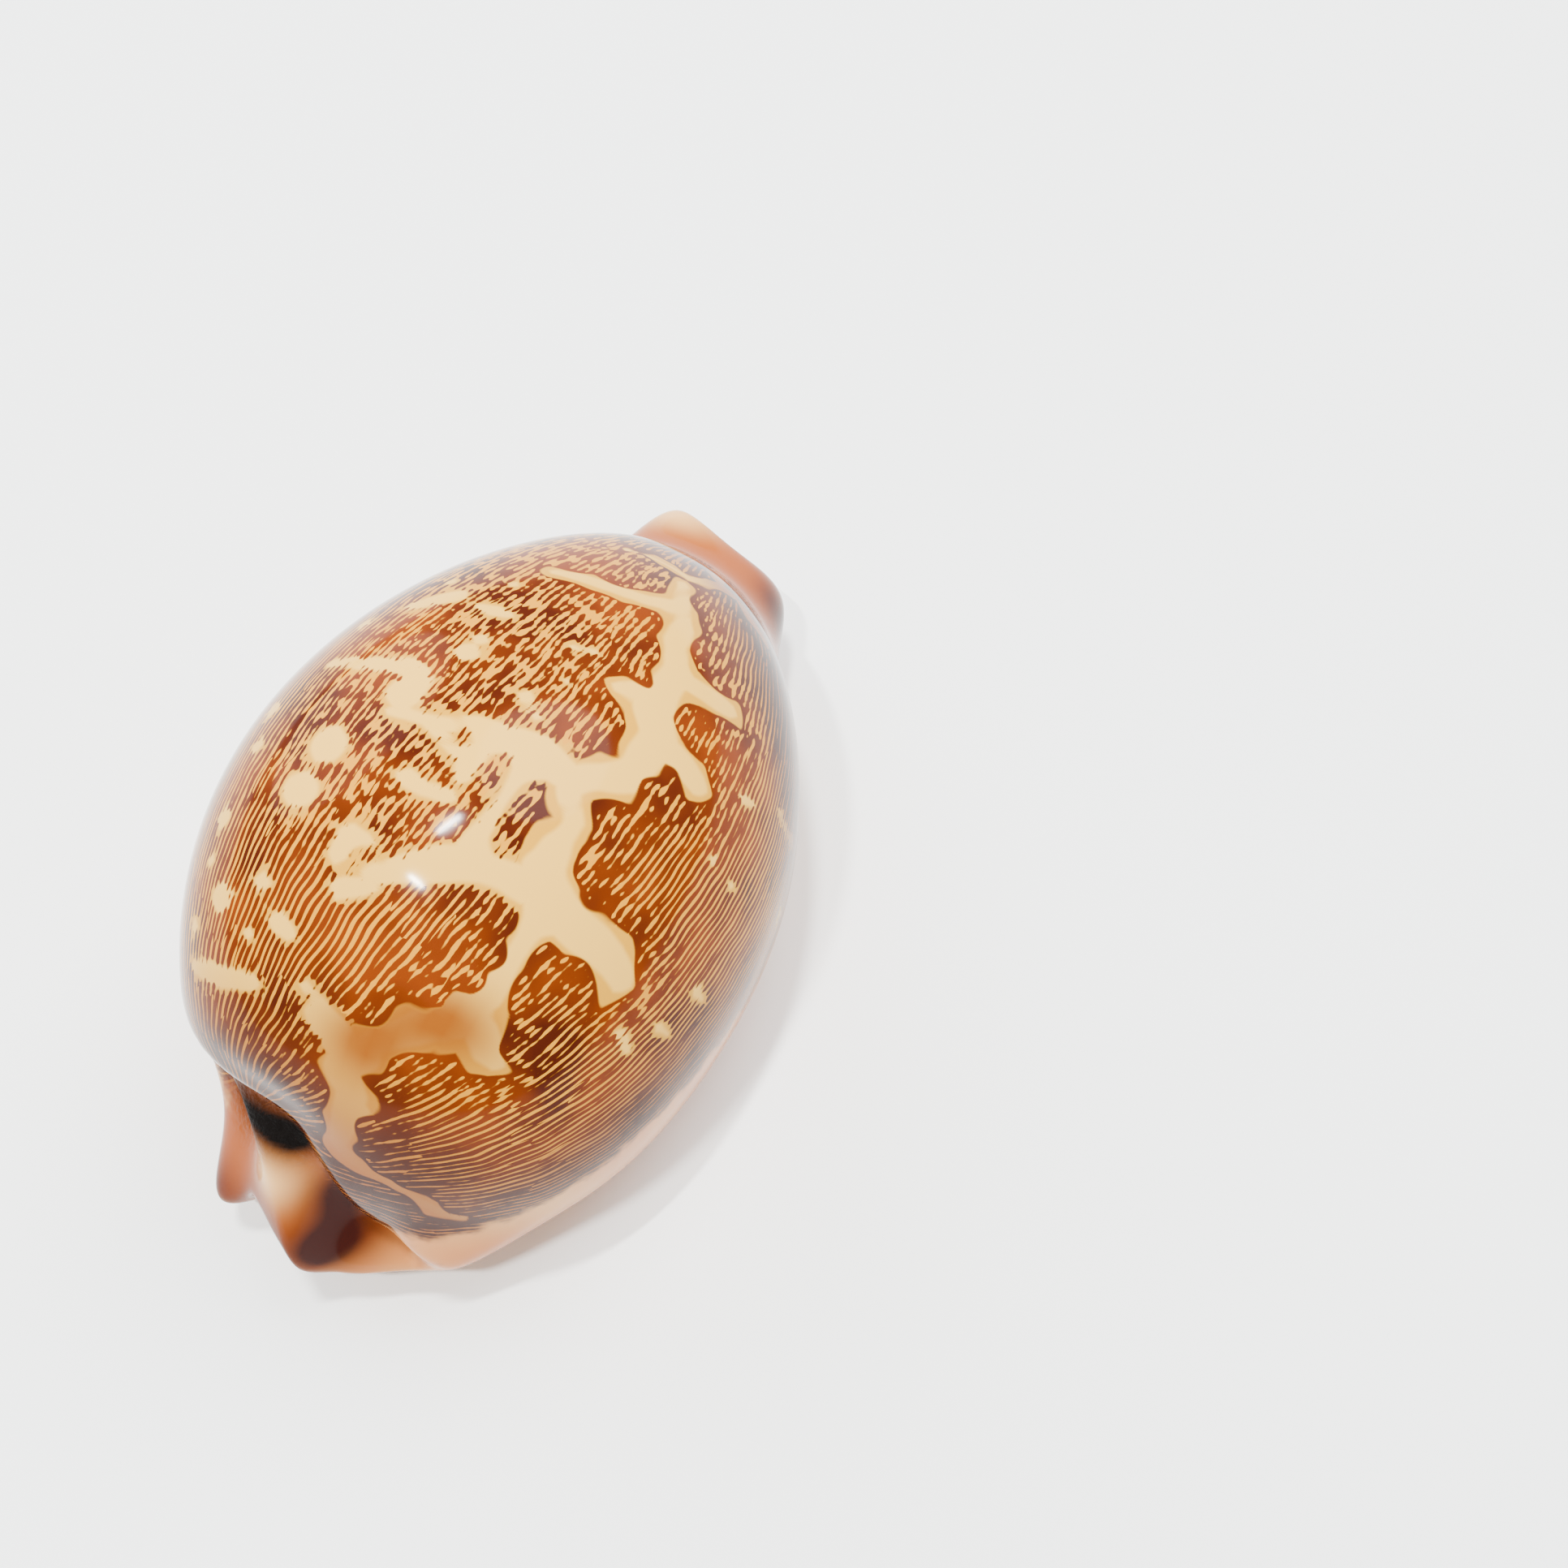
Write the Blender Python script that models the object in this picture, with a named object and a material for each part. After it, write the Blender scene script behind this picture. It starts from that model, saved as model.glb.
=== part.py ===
"""Map cowrie shell, one grown piece, modelled at its real size.

The shell lies on its base. Its long axis runs along Y with the front (siphon) end at +Y and the
spire end at -Y. The outer lip is the +X side and the columellar lip the -X side. The origin is on
the resting plane, under the middle of the shell.

Every cross-section square to the long axis is one closed loop: the outer surface from the outer lip
over the back to the columellar lip, the rolled lip edge, the wall of the aperture, the inside of
the hollow and the same again up to the outer lip. The loops shrink to one point at each end.
"""
import math

import bmesh
import bpy
import numpy as np

MM = 0.001

# Body, in millimetres. A station is an angle along the shell: 0 at the spire notch, pi at the front.
NOTCH_TO_NOTCH = 65.6
MIDDLE_Y = 2.2
STATIONS = np.radians([0, 36, 72, 108, 144, 180])
OUTER_LIP_SIDE = [31.5, 30.1, 26.8, 24.4, 20.9, 17.6]
COLUMELLAR_SIDE = [15.2, 18.9, 20.7, 19.0, 15.3, 12.3]
BACK_RISE = [24.9, 26.4, 26.6, 24.2, 20.5, 18.6]
OUTLINE_FULLNESS = 0.90
BACK_FULLNESS = 0.82
MARGIN_FULLNESS = 0.6
BASE_FULLNESS = 0.5
MARGIN_HEIGHT = 15.6
SPIRE_NOTCH = (-4.8, 10.0)
FRONT_NOTCH = (-2.8, 8.0)
BACK_ROUNDNESS = 2.28
BASE_ROUNDNESS = 2.6
WIDEST_BASE_SHARE = 0.97
SMALLEST_HALF_WIDTH = 1e-9

# Aperture: where its middle line and its width run along Y, tooth tip to tooth tip.
APERTURE_Y = [-30.6, -24.0, -15.5, -5.0, 5.0, 16.5, 25.0, 35.0]
APERTURE_X = [-4.8, 0.4, 4.0, 5.3, 5.2, 3.6, 1.5, -2.8]
APERTURE_WIDTH = [2.0, 3.4, 4.4, 5.0, 5.0, 4.4, 3.2, 2.2]
OUTER_LIP_ROLL = 3.4
COLUMELLAR_ROLL = 2.0
LIP_TAPER = 0.25

# Hollow
WALL_SHARE = 0.87
BACK_SHARE = 0.93
HOLLOW_LENGTH = 52.0
BASE_THICKNESS = 5.4
HOLLOW_END_LIFT = 2.0

# Teeth: ridges on both lips. END_TOOTH is the share of a tooth on the plain rows of the two ends.
TOOTH_PITCH = 1.7
TOOTH_COUNT = 34
TOOTH_FIRST_Y = -26.0
TOOTH_DEPTH = 0.84
OUTER_RIDGE_RISE = 0.3
END_TOOTH = 0.5

# Base: the ridge behind the outer lip reaches down to the resting plane.
LIP_RIDGE_OFFSET = 6.5
LIP_RIDGE_SPREAD = 5.5
LIP_RIDGE_DROP = 1.5
LIP_RIDGE_HEIGHTS = (3.0, 9.0)
LIP_RIDGE_HALF_LENGTH = 26.0
LIP_RIDGE_END_POWER = 4
REST_CUT = 0.35

# Knobs and hollows: centre, spread and shift, each (x, y, z).
SPIRE_END_KNOBS = {
    "outer_lip_lobe": ((1.0, -30.5, 9.5), (7.5, 5.2, 7.0), (-0.2, -5.2, -0.3)),
    "columellar_knob": ((-9.4, -29.3, 6.8), (3.4, 4.6, 3.4), (-1.0, -3.9, -0.4)),
}
OTHER_FEATURES = {
    "outer_lip_flare": ((10.0, -27.5, 6.5), (6.5, 7.0, 6.0), (0.7, -2.8, -0.4)),
    "back_end": ((-5.5, -28.5, 23.5), (7.0, 5.0, 5.0), (0.3, 2.0, 0.0)),
    "spire_pit": ((-11.0, -27.2, 15.0), (4.4, 4.6, 3.4), (2.4, 4.4, 0.5)),
    "front_columellar_tip": ((-7.0, 33.0, 9.4), (4.6, 5.5, 4.2), (-1.6, 5.8, 0.8)),
    "front_collar": ((-1.0, 33.0, 11.0), (6.5, 5.5, 3.6), (0.4, 4.2, 0.6)),
    "front_outer_tip": ((3.4, 33.0, 6.5), (3.8, 5.6, 4.2), (1.0, 4.8, 0.0)),
}
NOTCH_REACH = 2.2
NOTCH_TOP = (8.0, 12.0)

# Crease between the back and the knobs of the spire end: its height along X, its width and depth.
CREASE_X = [-12.0, -7.5, -3.0, 0.0, 2.4, 5.0, 12.0]
CREASE_Z = [20.4, 20.6, 19.4, 15.8, 12.2, 10.2, 9.0]
CREASE_SLOPE_SPAN = 1.0
CREASE_WIDTH = 1.8
CREASE_RAMP = (-4.0, 1.0)
CREASE_DEPTH = 1.8
CREASE_ENDS_Y = (-27.0, -22.0)
CREASE_ENDS_X = (5.0, 11.0)

# Mesh density
OUTER_COLUMNS = 26
ROLL_COLUMNS_OUTER = 4
ROLL_COLUMNS_COLUMELLAR = 3
INNER_COLUMNS = 10
END_ROWS = 9
END_ROW_POWER = 1.1
MERGE_DISTANCE = 1e-6

SHELL_COLOUR = (0.55, 0.24, 0.07, 1.0)
SHELL_ROUGHNESS = 0.12


def natural_spline(at, knots, values):
    """Cubic curve through the values at the knots, with no bend at its two ends."""
    knots = np.asarray(knots, float)
    values = np.asarray(values, float)
    count = len(knots)
    step = np.diff(knots)
    matrix = np.eye(count)
    right = np.zeros(count)
    for i in range(1, count - 1):
        matrix[i, i - 1:i + 2] = step[i - 1], 2 * (step[i - 1] + step[i]), step[i]
        right[i] = 6 * ((values[i + 1] - values[i]) / step[i] - (values[i] - values[i - 1]) / step[i - 1])
    bend = np.linalg.solve(matrix, right)
    at = np.asarray(at, float)
    k = np.clip(np.searchsorted(knots, at) - 1, 0, count - 2)
    d = at - knots[k]
    h = step[k]
    slope = (values[k + 1] - values[k]) / h - h * (2 * bend[k] + bend[k + 1]) / 6
    return values[k] + d * slope + d ** 2 * bend[k] / 2 + d ** 3 * (bend[k + 1] - bend[k]) / (6 * h)


def smooth_step(value, low, high):
    """0 below low, 1 above high, and a smooth rise between them."""
    t = np.clip((value - low) / (high - low), 0, 1)
    return t * t * (3 - 2 * t)


def section_sizes(station):
    """Sizes of the cross-section at each station, as a dictionary of arrays."""
    sine = np.clip(np.sin(station), 0, 1)
    along = (1 - np.cos(station)) / 2
    fullness = sine ** OUTLINE_FULLNESS
    pole_z = SPIRE_NOTCH[1] * (1 - along) + FRONT_NOTCH[1] * along
    margin_z = pole_z + (MARGIN_HEIGHT - pole_z) * sine ** MARGIN_FULLNESS
    rise = natural_spline(station, STATIONS, BACK_RISE) * sine ** BACK_FULLNESS
    middle_x = SPIRE_NOTCH[0] * (1 - along) + FRONT_NOTCH[0] * along
    y = MIDDLE_Y - NOTCH_TO_NOTCH / 2 * np.cos(station)
    taper = (1 + LIP_TAPER) * fullness / (fullness + LIP_TAPER)
    return {
        "y": y,
        "inner_y": MIDDLE_Y - HOLLOW_LENGTH / 2 * np.cos(station),
        "middle_x": middle_x,
        "margin_z": margin_z,
        "outer_half": natural_spline(station, STATIONS, OUTER_LIP_SIDE) * fullness,
        "columellar_half": natural_spline(station, STATIONS, COLUMELLAR_SIDE) * fullness,
        "rise": rise,
        "fall": margin_z * sine ** BASE_FULLNESS,
        "base_share": sine ** BASE_FULLNESS,
        "slit_x": natural_spline(y, APERTURE_Y, APERTURE_X),
        "slit_half": natural_spline(y, APERTURE_Y, APERTURE_WIDTH) / 2 * taper,
        "taper": taper,
    }


def superellipse(angle, outer_half, columellar_half, rise, fall):
    """Offsets across and up from the middle of a section, at a polar angle (0 at the outer lip side)."""
    c, s = np.cos(angle), np.sin(angle)
    power = np.where(s >= 0, BACK_ROUNDNESS, BASE_ROUNDNESS)
    radius = (np.abs(c) ** power + np.abs(s) ** power) ** (-1 / power)
    across = np.where(c >= 0, outer_half, columellar_half) * c * radius
    up = np.where(s >= 0, rise, fall) * s * radius
    return across, up


def base_angle(offset, outer_half, columellar_half):
    """Polar angle, below the widest line, at which a section is that far across from its middle."""
    half = np.where(offset >= 0, outer_half, columellar_half)
    share = np.clip(np.abs(offset) / np.maximum(half, SMALLEST_HALF_WIDTH), 0, WIDEST_BASE_SHARE)
    depth = (1 - share ** BASE_ROUNDNESS) ** (1 / BASE_ROUNDNESS)
    return np.arctan2(-depth, share * np.sign(offset))


def shape_base(points, slit_x):
    """Bring the ridge behind the outer lip down towards the resting plane."""
    x, y, z = points[..., 0], points[..., 1], points[..., 2]
    across = (x - slit_x - LIP_RIDGE_OFFSET) / LIP_RIDGE_SPREAD
    low = 1 - smooth_step(z, *LIP_RIDGE_HEIGHTS)
    along = np.exp(-(y / LIP_RIDGE_HALF_LENGTH) ** LIP_RIDGE_END_POWER)
    points[..., 2] = z - LIP_RIDGE_DROP * np.exp(-across ** 2) * low * along
    return points


def knob_share(points, centre, spread):
    """Strength of a knob at each point: 1 at its centre, falling off as a bell curve."""
    return np.exp(-np.sum(((points - np.array(centre)) / np.array(spread)) ** 2, axis=-1))


def add_features(points, notch_x):
    """Push the surface out into knobs and in at creases; the notch at each end stays where it is."""
    x, y, z = points[..., 0], points[..., 1], points[..., 2]
    gap = np.exp(-((x - notch_x) / NOTCH_REACH) ** 2)
    open_notch = 1 - gap * (1 - smooth_step(z, *NOTCH_TOP))
    half = CREASE_SLOPE_SPAN / 2
    slope = (natural_spline(x + half, CREASE_X, CREASE_Z)
             - natural_spline(x - half, CREASE_X, CREASE_Z)) / CREASE_SLOPE_SPAN
    above = (z - natural_spline(x, CREASE_X, CREASE_Z)) / np.sqrt(1 + slope ** 2)
    at_spire_end = (1 - smooth_step(y, *CREASE_ENDS_Y)) * (1 - smooth_step(x, *CREASE_ENDS_X))
    below_crease = 1 - smooth_step(above, *CREASE_RAMP) * at_spire_end
    moved = points.copy()
    for centre, spread, shift in SPIRE_END_KNOBS.values():
        strength = knob_share(points, centre, spread) * open_notch * below_crease
        moved += strength[..., None] * np.array(shift)
    for centre, spread, shift in OTHER_FEATURES.values():
        strength = knob_share(points, centre, spread) * open_notch
        moved += strength[..., None] * np.array(shift)
    fold = CREASE_DEPTH * np.exp(-(above / CREASE_WIDTH) ** 2) * at_spire_end
    moved[..., 1] += fold * open_notch
    return moved


def stack(x, y, z):
    """One array of points from three arrays of coordinates of any matching shapes."""
    return np.stack(np.broadcast_arrays(x, y, z), axis=-1)


def shell_points(station, tooth):
    """Grid of points: one row for each station, one column for each place round the loop.

    tooth has one value for each station: 1 where the row runs along a tooth, 0 between teeth.
    """
    size = {name: value[:, None] for name, value in section_sizes(station).items()}
    tooth = tooth[:, None]
    middle, y, slit = size["middle_x"], size["y"], size["slit_x"]
    taper, margin_z = size["taper"], size["margin_z"]
    body = (size["outer_half"], size["columellar_half"], size["rise"], size["fall"])

    outer_roll = OUTER_LIP_ROLL * taper
    columellar_roll = COLUMELLAR_ROLL * taper
    start = base_angle(slit + size["slit_half"] + outer_roll - middle, *body[:2])
    end = base_angle(slit - size["slit_half"] - columellar_roll - middle, *body[:2]) + 2 * math.pi
    share = np.linspace(0, 1, OUTER_COLUMNS + 1)[None, :]
    across, up = superellipse(start + (end - start) * share, *body)
    outer = stack(middle + across, y, margin_z + up)
    outer = shape_base(outer, slit)
    outer[:, 0, 2] -= (OUTER_RIDGE_RISE * (tooth * 2 - 1) * taper)[:, 0]

    between = TOOTH_DEPTH * (1 - tooth) * taper
    turn = np.radians(np.linspace(0, 90, ROLL_COLUMNS_COLUMELLAR + 1))[None, 1:]
    edge_x, edge_z = outer[:, -1:, 0], outer[:, -1:, 2]
    bite = between * np.sin(turn)
    columellar_lip = stack(edge_x + columellar_roll * np.sin(turn) - bite, y,
                           edge_z + columellar_roll * (1 - np.cos(turn)))

    turn = np.radians(np.linspace(90, 0, ROLL_COLUMNS_OUTER + 1))[None, :-1]
    edge_x, edge_z = outer[:, :1, 0], outer[:, :1, 2]
    bite = between * np.sin(turn)
    outer_lip = stack(edge_x - outer_roll * np.sin(turn) + bite, y,
                      edge_z + outer_roll * (1 - np.cos(turn)))

    middle_z = margin_z + HOLLOW_END_LIFT * (1 - size["base_share"])
    hollow = (size["outer_half"] * WALL_SHARE, size["columellar_half"] * WALL_SHARE,
              size["rise"] * BACK_SHARE, (middle_z - BASE_THICKNESS) * size["base_share"])
    inner_start = base_angle(slit + size["slit_half"] - middle, *hollow[:2])
    inner_end = base_angle(slit - size["slit_half"] - middle, *hollow[:2]) + 2 * math.pi
    share = np.linspace(1, 0, INNER_COLUMNS + 1)[None, :]
    across, up = superellipse(inner_start + (inner_end - inner_start) * share, *hollow)
    inner = stack(middle + across, size["inner_y"], middle_z + up)

    skin = [add_features(part, middle) for part in (outer, columellar_lip, outer_lip)]
    points = np.concatenate([skin[0], skin[1], inner, skin[2]], axis=1)
    points[..., 2] = np.maximum(points[..., 2] - REST_CUT, 0)
    return points


def centred(points):
    """The same points with the middle of their box over the origin."""
    flat = points.reshape(-1, 3)
    middle = (flat.min(axis=0) + flat.max(axis=0)) / 2
    return points - np.array([middle[0], middle[1], 0.0])


def rows():
    """Stations of all rows, and which of them run along a tooth."""
    tooth_y = TOOTH_FIRST_Y + TOOTH_PITCH / 2 * np.arange(2 * TOOTH_COUNT + 1)
    toothed = np.arccos((MIDDLE_Y - tooth_y) / (NOTCH_TO_NOTCH / 2))
    share = (np.arange(END_ROWS) / END_ROWS) ** END_ROW_POWER
    spire_end = toothed[0] * share
    front_end = (math.pi - (math.pi - toothed[-1]) * share)[::-1]
    station = np.concatenate([spire_end, toothed, front_end])
    tooth = np.full(len(station), END_TOOTH)
    tooth[END_ROWS:END_ROWS + len(toothed)] = np.arange(len(toothed)) % 2
    return station, tooth


def build_mesh(name, points):
    """Closed mesh from a grid whose columns run round a loop and whose end rows are single points."""
    count_rows, count_columns = points.shape[:2]
    row, column = np.meshgrid(np.arange(count_rows - 1), np.arange(count_columns), indexing="ij")
    next_column = (column + 1) % count_columns
    corners = [row * count_columns + column, (row + 1) * count_columns + column,
               (row + 1) * count_columns + next_column, row * count_columns + next_column]
    faces = np.stack(corners, axis=-1).reshape(-1, 4)
    mesh = bpy.data.meshes.new(name)
    mesh.from_pydata((points.reshape(-1, 3) * MM).tolist(), [], faces.tolist())
    work = bmesh.new()
    work.from_mesh(mesh)
    bmesh.ops.remove_doubles(work, verts=work.verts, dist=MERGE_DISTANCE)
    bmesh.ops.dissolve_degenerate(work, edges=work.edges, dist=MERGE_DISTANCE)
    bmesh.ops.triangulate(work, faces=work.faces)
    bmesh.ops.recalc_face_normals(work, faces=work.faces)
    work.to_mesh(mesh)
    work.free()
    return mesh


def shell_material():
    """Glossy orange-brown enamel of the back."""
    material = bpy.data.materials.new("shell_enamel")
    material.use_nodes = True
    surface = material.node_tree.nodes["Principled BSDF"]
    surface.inputs["Base Color"].default_value = SHELL_COLOUR
    surface.inputs["Roughness"].default_value = SHELL_ROUGHNESS
    surface.inputs["Metallic"].default_value = 0.0
    return material


def build_shell():
    """The whole shell as one named object."""
    station, tooth = rows()
    mesh = build_mesh("shell", centred(shell_points(station, tooth)))
    mesh.materials.append(shell_material())
    mesh.shade_smooth()
    shell = bpy.data.objects.new("shell", mesh)
    bpy.context.scene.collection.objects.link(shell)
    return shell


def main():
    for item in list(bpy.data.objects):
        bpy.data.objects.remove(item)
    build_shell()


main()
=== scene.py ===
"""Map cowrie shell lying on its base, with its enamel, markings, lips and teeth.

The shell is one surface worked out with numpy. Lengths are in millimetres in the shell's own layout,
in which the long axis runs along Y, the front (siphon) end is +Y and the outer lip is +X. The last
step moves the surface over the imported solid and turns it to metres.
"""

import logging
import math
from dataclasses import dataclass, field
from enum import Enum
from typing import Any, Optional, Sequence

import bpy
import numpy as np
from mathutils import Matrix, Vector


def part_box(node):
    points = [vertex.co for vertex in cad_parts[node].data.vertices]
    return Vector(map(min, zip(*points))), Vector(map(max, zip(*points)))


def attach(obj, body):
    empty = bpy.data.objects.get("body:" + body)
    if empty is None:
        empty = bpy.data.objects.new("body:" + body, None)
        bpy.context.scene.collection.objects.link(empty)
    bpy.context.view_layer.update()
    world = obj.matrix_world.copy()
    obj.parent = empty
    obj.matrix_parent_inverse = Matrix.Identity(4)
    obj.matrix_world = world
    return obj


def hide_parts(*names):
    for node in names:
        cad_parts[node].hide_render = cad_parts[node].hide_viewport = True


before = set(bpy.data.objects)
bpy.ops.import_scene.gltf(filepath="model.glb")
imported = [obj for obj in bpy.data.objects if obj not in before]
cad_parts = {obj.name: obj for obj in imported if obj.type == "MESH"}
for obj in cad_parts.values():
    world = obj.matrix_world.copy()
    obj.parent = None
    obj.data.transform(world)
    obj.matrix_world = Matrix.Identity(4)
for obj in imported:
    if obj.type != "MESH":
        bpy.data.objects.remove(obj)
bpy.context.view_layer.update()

LOG = logging.getLogger("cowrie")
MM = 0.001
IMAGE_SIZE = 1932.0
FAR = 1e9
TINY = 1e-9
TURN = 2.0 * math.pi
JOIN_DIGITS = 4

Socket = bpy.types.NodeSocket
ATTRIBUTE = "ShaderNodeAttribute"
COMBINE = "ShaderNodeCombineXYZ"
MATH = "ShaderNodeMath"
MIX = "ShaderNodeMix"
NOISE = "ShaderNodeTexNoise"
REMAP = "ShaderNodeMapRange"
MULTIPLY_ADD = {"operation": "MULTIPLY_ADD"}
RGBA = {"data_type": "RGBA"}
SMOOTH = {"interpolation_type": "SMOOTHSTEP"}


def smooth_step(value: np.ndarray, low: float, high: float) -> np.ndarray:
    """0 below low, 1 above high, and a smooth rise between them."""
    t = np.clip((value - low) / (high - low), 0.0, 1.0)
    return t * t * (3.0 - 2.0 * t)


def natural_spline(at: np.ndarray, knots: Sequence[float], values: Sequence[float]) -> np.ndarray:
    """Cubic curve through values at knots, without bend at its two ends.

    Args:
        at: places to work it out at.
        knots: rising places of the given values.
        values: the value at each knot.

    Returns:
        The curve's value at each place.
    """
    knots = np.asarray(knots, float)
    values = np.asarray(values, float)
    step = np.diff(knots)
    slope = np.diff(values) / step
    matrix = np.eye(len(knots))
    right = np.zeros(len(knots))
    inner = np.arange(1, len(knots) - 1)
    matrix[inner, inner - 1] = step[:-1]
    matrix[inner, inner] = 2.0 * (step[:-1] + step[1:])
    matrix[inner, inner + 1] = step[1:]
    right[inner] = 6.0 * np.diff(slope)
    bend = np.linalg.solve(matrix, right)
    at = np.asarray(at, float)
    k = np.clip(np.searchsorted(knots, at) - 1, 0, len(knots) - 2)
    d, h = at - knots[k], step[k]
    start = slope[k] - h * (2.0 * bend[k] + bend[k + 1]) / 6.0
    return values[k] + d * start + d ** 2 * bend[k] / 2.0 + d ** 3 * (bend[k + 1] - bend[k]) / (6.0 * h)


def stack(x: np.ndarray, y: np.ndarray, z: np.ndarray) -> np.ndarray:
    """One array of points from three arrays of coordinates of any matching shapes."""
    return np.stack(np.broadcast_arrays(x, y, z), axis=-1)


@dataclass(frozen=True)
class Knob:
    """A bell-shaped push of the surface: its centre, spread and shift, each (x, y, z) in mm."""

    centre: tuple[float, float, float]
    spread: tuple[float, float, float]
    shift: tuple[float, float, float]
    below_crease: bool = False

    def push(self, points: np.ndarray, strength: np.ndarray) -> np.ndarray:
        """Shift of each point: the knob's shift times exp(-sum of (distance / spread) squared)."""
        away = (points - np.array(self.centre)) / np.array(self.spread)
        return (np.exp(-np.sum(away ** 2, axis=-1)) * strength)[..., None] * np.array(self.shift)


@dataclass(frozen=True)
class Teeth:
    """One lip's teeth: ridges that run out from the aperture over the base and fade."""

    pitch: float
    groove: float
    reach: float
    first_y: float
    last_y: float
    fade: float = 3.0
    crest_power: float = 0.6
    base_share: float = 0.45
    end_share: float = 0.4

    def groove_share(self, y: np.ndarray) -> np.ndarray:
        """How deep the lip is cut: a cosine with widened tops, which fades to one level past the row's ends.

        Args:
            y: places along the lip.

        Returns:
            0 on top of a tooth and 1 in the groove between two.
        """
        crest = (0.5 + 0.5 * np.cos(TURN * (y - self.first_y) / self.pitch)) ** self.crest_power
        first = smooth_step(y, self.first_y - self.fade, self.first_y)
        last = 1.0 - smooth_step(y, self.last_y, self.last_y + self.fade)
        return self.end_share + (1.0 - self.end_share - crest) * first * last

    def cut(self, y: np.ndarray, turn: np.ndarray) -> np.ndarray:
        """Depth of the groove on the rolled edge, growing with the sine of the roll's angle."""
        return self.groove * self.groove_share(y) * (self.base_share + (1.0 - self.base_share) * np.sin(turn))

    def cut_on_base(self, y: np.ndarray, distance: np.ndarray) -> np.ndarray:
        """Depth of the groove on the base, fading with the distance from the lip's edge."""
        near = 1.0 - smooth_step(distance, 0.0, self.reach)
        return self.groove * self.groove_share(y) * self.base_share * near


@dataclass
class ShellForm:
    """Shape of the whole shell: a grid of sections across the long axis, each one closed loop.

    A station is an angle along the shell, 0 at the spire notch and pi at the front notch. Each section
    is a superellipse, (|across| / half)^p + (|up| / rise)^p = 1, cut open below by the aperture; its lips
    are quarter circles, and a smaller superellipse inside is the hollow.
    """

    rows: int = 500
    outer_columns: int = 132
    columellar_columns: int = 12
    hollow_columns: int = 26
    lip_columns: int = 16
    column_crowding: float = 0.55
    hollow_mark: float = 2.0
    notch_to_notch: float = 65.6
    middle_y: float = 2.2
    stations: Sequence[float] = (0.0, 36.0, 72.0, 108.0, 144.0, 180.0)
    outer_side: Sequence[float] = (31.5, 30.1, 26.8, 24.4, 20.9, 17.6)
    columellar_side: Sequence[float] = (15.2, 18.9, 20.7, 19.0, 15.3, 12.3)
    back_rise: Sequence[float] = (24.9, 26.4, 26.6, 24.2, 20.5, 18.6)
    outline_fullness: float = 0.90
    back_fullness: float = 0.82
    margin_fullness: float = 0.6
    base_fullness: float = 0.5
    margin_height: float = 15.6
    spire_notch: tuple[float, float] = (-4.8, 10.0)
    front_notch: tuple[float, float] = (-2.8, 8.0)
    back_roundness: float = 2.28
    base_roundness: float = 2.6
    widest_base_share: float = 0.97
    aperture_y: Sequence[float] = (-30.6, -24.0, -15.5, -5.0, 5.0, 16.5, 25.0, 35.0)
    aperture_x: Sequence[float] = (-4.8, 0.4, 4.0, 5.3, 5.2, 3.6, 1.5, -2.8)
    aperture_width: Sequence[float] = (2.0, 3.4, 4.4, 5.0, 5.0, 4.4, 3.2, 2.2)
    outer_roll: float = 3.4
    columellar_roll: float = 2.0
    lip_taper: float = 0.25
    wall_share: float = 0.87
    back_share: float = 0.93
    hollow_length: float = 52.0
    base_thickness: float = 5.4
    hollow_end_lift: float = 2.0
    ridge_offset: float = 6.5
    ridge_spread: float = 5.5
    ridge_drop: float = 1.5
    ridge_heights: tuple[float, float] = (3.0, 9.0)
    ridge_half_length: float = 26.0
    rest_cut: float = 0.35
    rest_softness: float = 0.3
    outer_teeth: Teeth = Teeth(pitch=1.7, groove=0.84, reach=5.2, first_y=-26.0, last_y=31.0)
    columellar_teeth: Teeth = Teeth(pitch=1.3, groove=0.7, reach=1.6, first_y=-25.5, last_y=31.0,
                                    base_share=0.3)
    knobs: dict[str, Knob] = field(default_factory=lambda: {
        "outer_lip_lobe": Knob((1.0, -30.5, 9.5), (7.5, 5.2, 7.0), (-0.2, -5.2, -0.3), True),
        "columellar_knob": Knob((-9.4, -29.3, 6.8), (3.4, 4.6, 3.4), (-1.0, -3.9, -0.4), True),
        "outer_lip_flare": Knob((10.0, -27.5, 6.5), (6.5, 7.0, 6.0), (0.7, -2.8, -0.4)),
        "back_end": Knob((-5.5, -28.5, 23.5), (7.0, 5.0, 5.0), (0.3, 2.0, 0.0)),
        "spire_pit": Knob((-11.0, -27.2, 15.0), (4.4, 4.6, 3.4), (2.4, 4.4, 0.5)),
        "front_columellar_tip": Knob((-7.0, 33.0, 9.4), (4.6, 5.5, 4.2), (-1.6, 5.8, 0.8)),
        "front_collar": Knob((-1.0, 33.0, 11.0), (6.5, 5.5, 3.6), (0.4, 4.2, 0.6)),
        "front_outer_tip": Knob((3.4, 33.0, 6.5), (3.8, 5.6, 4.2), (1.0, 4.8, 0.0)),
    })
    notch_reach: float = 2.2
    notch_top: tuple[float, float] = (8.0, 12.0)
    crease_x: Sequence[float] = (-12.0, -7.5, -3.0, 0.0, 2.4, 5.0, 12.0)
    crease_z: Sequence[float] = (20.4, 20.6, 19.4, 15.8, 12.2, 10.2, 9.0)
    crease_slope_span: float = 1.0
    crease_width: float = 1.8
    crease_ramp: tuple[float, float] = (-4.0, 1.0)
    crease_depth: float = 1.8
    crease_ends_y: tuple[float, float] = (-27.0, -22.0)
    crease_ends_x: tuple[float, float] = (5.0, 11.0)

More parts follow.
